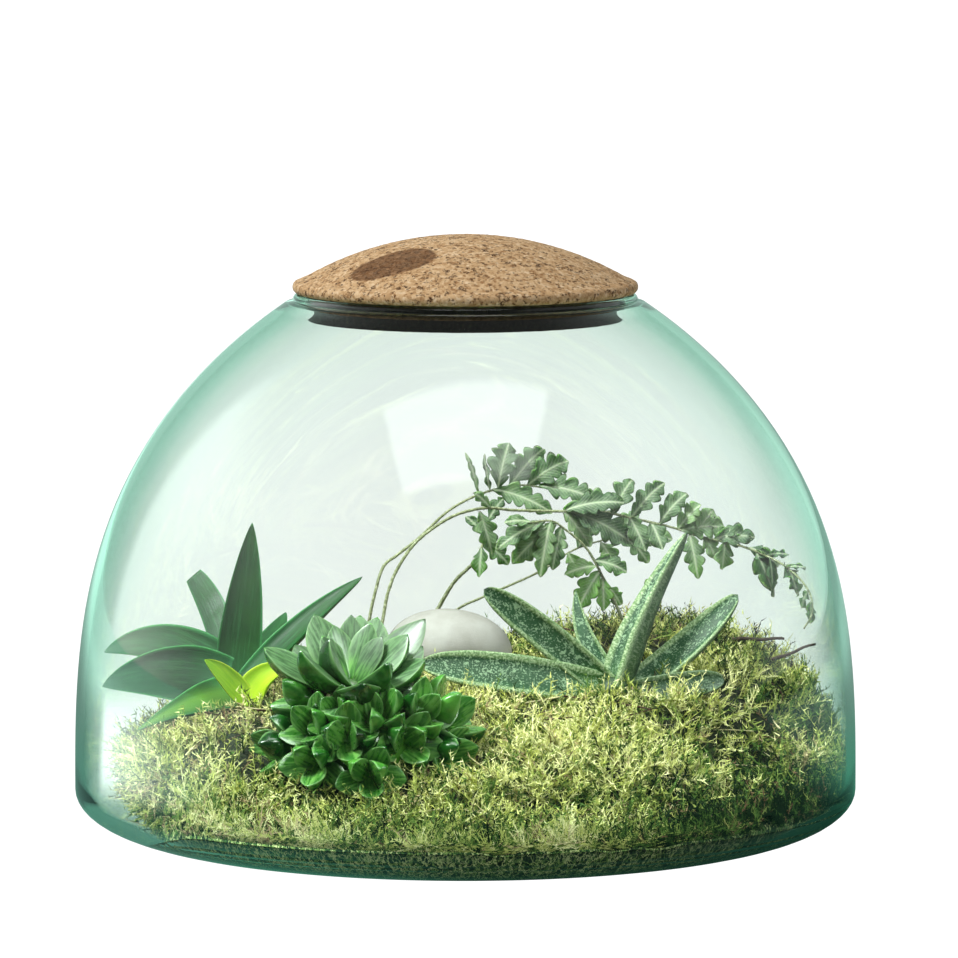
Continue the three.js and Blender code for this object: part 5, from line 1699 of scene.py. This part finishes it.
def mossPlaces(low, high, inner, count, rng):
    # places over the top of a mat and down its side by the glass, with the way that moss grows there
    span = (high - low) * 2 * math.pi / 36
    first = low * 2 * math.pi / 36
    topArea = span * (bed["reach"] ** 2 - inner**2) / 2
    sideArea = span * bed["reach"] * moss["sideHeight"] if inner else 0
    onTop = int(count * topArea / (topArea + sideArea))
    outer = bed["reach"] if inner else bed["matInner"]
    radii = np.sqrt(rng.uniform(inner**2, outer**2, onTop))
    angle = bentAngle(first + rng.uniform(0, span, onTop), radii)
    radii = drawnIn(angle, radii)
    x, y = radii * np.cos(angle), radii * np.sin(angle)
    top = np.stack([x, y, mossTop(x, y) - 1.4], -1)
    n = count - onTop
    angle = bentAngle(first + rng.uniform(0, span, n), np.full(n, bed["reach"]))
    wide = drawnIn(angle, np.full(n, bed["reach"] + 2.5))
    summit = mossTop((wide - 4) * np.cos(angle), (wide - 4) * np.sin(angle))
    share = rng.uniform(0, 1, n)
    turn = np.clip(share / 0.4, 0, 1) * math.pi / 2  # round the heel, and then up the wall
    heelRise = heelIn["top"] - glass["floor"]
    z = np.where(share < 0.4, heelIn["top"] - heelRise * np.cos(turn), heelIn["top"])
    z = z + np.clip(share - 0.4, 0, 1) / 0.6 * np.maximum(summit - heelIn["top"] - 1, 0)
    z = np.minimum(z, summit - 0.5)
    r = np.where(share < 0.4, heelIn["r"] + heelIn["reach"] * np.sin(turn), insideRadius(z))
    r = np.minimum(r, wide) - 1.8
    z = z + 1.3 * np.cos(turn)
    side = np.stack([r * np.cos(angle), r * np.sin(angle), z], -1)
    level = np.sin(turn)
    outwards = np.stack([np.cos(angle) * level, np.sin(angle) * level, 0.3 - np.cos(turn)], -1)
    depth = np.concatenate([np.zeros(onTop), np.clip(1 - z / np.maximum(summit, 1), 0, 1)])
    return np.concatenate([top, side]), np.concatenate([groundNormal(x, y), unit(outwards)]), depth


def mossTone(at, depth, lumps, rng):
    # how light and yellow, and how dry, the moss is at each place, with painted light and shade in the tone
    x, y = at[:, 0], at[:, 1]
    patch, small = ripple(at, 34, 21), ripple(at, 8, 22)
    # sunny is a painted pool of light; the paler left is partly its own drier colour and partly a painted
    # veil of light
    sunny = np.exp(-((x - 42) ** 2 / 12000 + (y + 46) ** 2 / 5200))
    left = np.exp(-((x + 92) ** 2 / 1500 + (y + 46) ** 2 / 2600))
    # the tone rises with the lumps, which also raise the sprigs: painted shade in the dips between them
    tone = 0.37 + 0.32 * sunny + 0.27 * left + 0.10 * patch + 0.10 * small + 0.16 * lumps
    # painted shade: darker deep down the side against the glass, and low down towards the right
    low = np.clip((33 - at[:, 2]) / 18, 0, 1)
    edge = 0.06 * np.clip((x + 110) / 50, 0, 1) + 0.60 * np.clip((x - 40) / 50, 0, 1)
    tone -= 0.22 * depth + low * edge
    dry = 0.10 + 0.20 * left + 0.14 * patch + 0.12 * small
    count = len(at)
    own = rng.normal(0, 0.13, count) + rng.choice([-0.34, 0, 0.22], count, p=[0.36, 0.32, 0.32])
    return np.clip(tone + own, 0, 1), np.clip(dry + rng.normal(0, 0.20, count), 0, 1)


def mossLook(start, place):
    tone, dry, high = start.mark("mossTone").parts()
    green = tone.ramp(
        (0.0, paint(4, 34, 6)),
        (0.3, paint(88, 124, 52)),
        (0.58, paint(200, 206, 112)),
        (0.88, paint(248, 248, 184)),
    )
    straw = tone.mix(paint(126, 96, 72), paint(216, 196, 152))
    shade = dry.over(0.42, 0.60).mix(green, straw)
    # darker towards the foot of each sprig: painted shade, where the sprigs shade each other
    low = (1 - high.over(0.0, 0.7)) * 0.8
    shade = low.mix(shade, paint(92, 110, 50), "MULTIPLY")
    return {"Base Color": shade, "Roughness": 0.8, "Specular IOR Level": 0.25}


def matLook(start, place):
    fibre = place.stretched(1, 1, 0.5).noise(1.1, 4, 0.7)
    # dark fibre: partly the darker lower moss and partly painted shade in the gaps between the sprigs
    shade = fibre.ramp((0.3, paint(10, 18, 6)), (0.55, paint(28, 38, 14)), (0.75, paint(60, 66, 28)))
    # where it lies against the glass its strands show, as threads in several layers
    x, y, z = place.parts()
    ring = start.maths("ARCTAN2", y, x) * 125
    away = start.maths("SQRT", x * x + y * y)
    net = start.add("CombineXYZ", None, {0: ring, 1: away * 0.45, 2: z * 0.7})
    lying = fibre.ramp((0.35, paint(4, 20, 4)), (0.6, paint(30, 62, 24)), (0.8, paint(84, 116, 56)))
    for k, thread in enumerate([(60, 98, 40), (100, 136, 62), (140, 166, 90), (206, 216, 148)]):
        spread = net.shifted((17 * k, 31 * k, 0)).noise(4.4 - 0.5 * k, 3, 0.65)
        lying = abs(spread - 0.5).over(0.026, 0.010).mix(lying, paint(*thread))
    # painted shade: the threads darken towards the right and turn darker green towards the bottom
    lying = (x.over(20, 110) * 0.6).mix(lying, paint(6, 30, 14))
    lying = (z.over(15, 4) * 0.55).mix(lying, paint(10, 40, 20))
    outside = away.over(127, 131).larger(x.over(-98, -110))
    shade = z.over(18, 14).larger(outside).mix(shade, lying)
    return {"Base Color": shade, "Roughness": 0.95, "height": fibre, "relief": 1.0}


litter = {
    "count": 110,
    "reach": 122,
    "long": (9, 26),
    "lift": (1.5, 4.5),
    "radius": (0.16, 0.42),
    "clear": 2.5,  # of the plants
}


def litterLook(start, place):
    tone, _, _ = start.mark("mossTone").parts()
    grain = place.noise(0.9, 3, 0.7)
    straw = grain.ramp((0.3, paint(150, 140, 96)), (0.7, paint(214, 206, 160)))
    dark = grain.ramp((0.3, paint(30, 18, 12)), (0.7, paint(92, 60, 42)))
    shade = tone.over(0.2, 0.5).mix(dark, straw)
    return {"Base Color": shade, "Roughness": 0.85, "height": grain, "relief": 0.1}


def trimMoss(plants, at, way, tall):
    # shortens the sprigs that would grow into a plant, and says which ones have room to stand
    keep = np.ones(len(at), bool)
    for k in range(len(at)):
        hit = plants.ray_cast(Vector(at[k] - way[k] * 1.5), Vector(way[k]), tall[k] + 3.5)
        if hit[0] is not None:
            room = hit[3] - 1.8
            keep[k] = room > 2.0 and hit[1].dot(Vector(way[k])) < 0
            tall[k] = min(tall[k], max(room, 1.0))
    return keep


def makeMoss():
    def matTop(x, y):
        return mossTop(x, y) - bed["matSink"]

    shapes, faces = sprigTemplates()
    plants = plantTree()
    strands, under = finish("mossStrands", mossLook), finish("mossMat", matLook)
    fill = moss["mostFaces"] // len(faces)
    for number, (title, node, low, upto, pieces, inner) in enumerate(mats):
        heap = Heap()
        angles = np.linspace(low, upto, 49 if inner else 97) * 2 * math.pi / 36
        outer = bed["reach"] + 2 if inner else bed["matInner"] - 0.3
        radii = np.linspace(inner + 0.3, outer, 46 if inner else 16)
        bedBlock(heap, angles, radii, matTop, mossUnder)
        heap.piece("moss" + title + "Mat", under, "moss", [node])
        for part in range(pieces):
            rng = np.random.default_rng(720 + 10 * number + part)
            at, way, depth = mossPlaces(low, upto, inner, fill if inner else fill // 3, rng)
            tufts = np.stack([ripple(at, 11, 40 + k) for k in range(3)], -1)
            lumps = ripple(at, 15, 50) + 0.5 * ripple(at, 7, 51)
            at = at + way * (1.3 * lumps)[:, None]
            way = unit(way + 0.7 * tufts + rng.normal(0, 0.72, way.shape) + (0, 0, 0.1))
            tall = rng.uniform(*moss["tall"], len(at)) * (1 - 0.2 * depth)
            keep = trimMoss(plants, at, way, tall)
            at, way, depth, tall, lumps = at[keep], way[keep], depth[keep], tall[keep], lumps[keep]
            count, size = len(at), shapes.shape[1]
            tone, dry = mossTone(at, depth, lumps, rng)
            side = unit(np.cross(way, unit(rng.normal(size=(count, 3)))))
            turn = np.stack([side, np.cross(way, side), way], -1)
            pick = rng.integers(0, moss["templates"], count)
            points = np.einsum("nij,npj->npi", turn, shapes[pick]) * tall[:, None, None] + at[:, None]
            triangles = (np.arange(count)[:, None, None] * size + faces).reshape(-1, 3)
            high = shapes[pick][..., 2].ravel()
            marks = np.stack([np.repeat(tone, size), np.repeat(dry, size), high], -1)
            heap = Heap()
            heap.put(keepInside(points.reshape(-1, 3)), (), triangles, {"mossTone": marks})
            heap.piece("moss" + title + "Strands" + "ABC"[part], strands, "moss", [node], smooth=False)


def makeLitter():
    # stray stalks that lie over the moss, straw or dark, clear of the plants
    rng = np.random.default_rng(760)
    plants = plantTree()
    heap = Heap()
    while len(heap.points) < litter["count"]:
        angle = rng.uniform(0, 2 * math.pi)
        far = math.sqrt(rng.uniform(0.06, 1)) * litter["reach"]
        turn = rng.uniform(0, 2 * math.pi)
        long = rng.uniform(*litter["long"])
        steps = np.linspace(-0.5, 0.5, 7) * long
        bow = rng.normal(0, 0.08) * long * (1 - (steps / long * 2) ** 2)
        x = far * math.cos(angle) + steps * math.cos(turn) - bow * math.sin(turn)
        y = far * math.sin(angle) + steps * math.sin(turn) + bow * math.cos(turn)
        lift = rng.uniform(*litter["lift"])
        run = np.stack([x, y, mossTop(x, y).mean() + lift + steps * rng.normal(0, 0.22)], -1)
        clear = all(plants.find_nearest(Vector(p))[3] > litter["clear"] for p in run)
        if not clear or np.hypot(x, y).max() > litter["reach"]:
            continue
        before = heap.count
        thick = rng.uniform(*litter["radius"])
        sweep(heap, curveThrough(run, 24), thick * np.linspace(1, 0.5, 24), 5, False, 0.12, before)
        tone = rng.choice([0.0, 0.75], p=[0.45, 0.55])
        heap.marks.setdefault("mossTone", []).append(np.tile([tone, 1.0, 1.0], (heap.count - before, 1)))
    look = finish("strayStalks", litterLook)
    heap.piece("mossLitter", look, "moss")


makeMoss()
makeLitter()
print("moss grown")
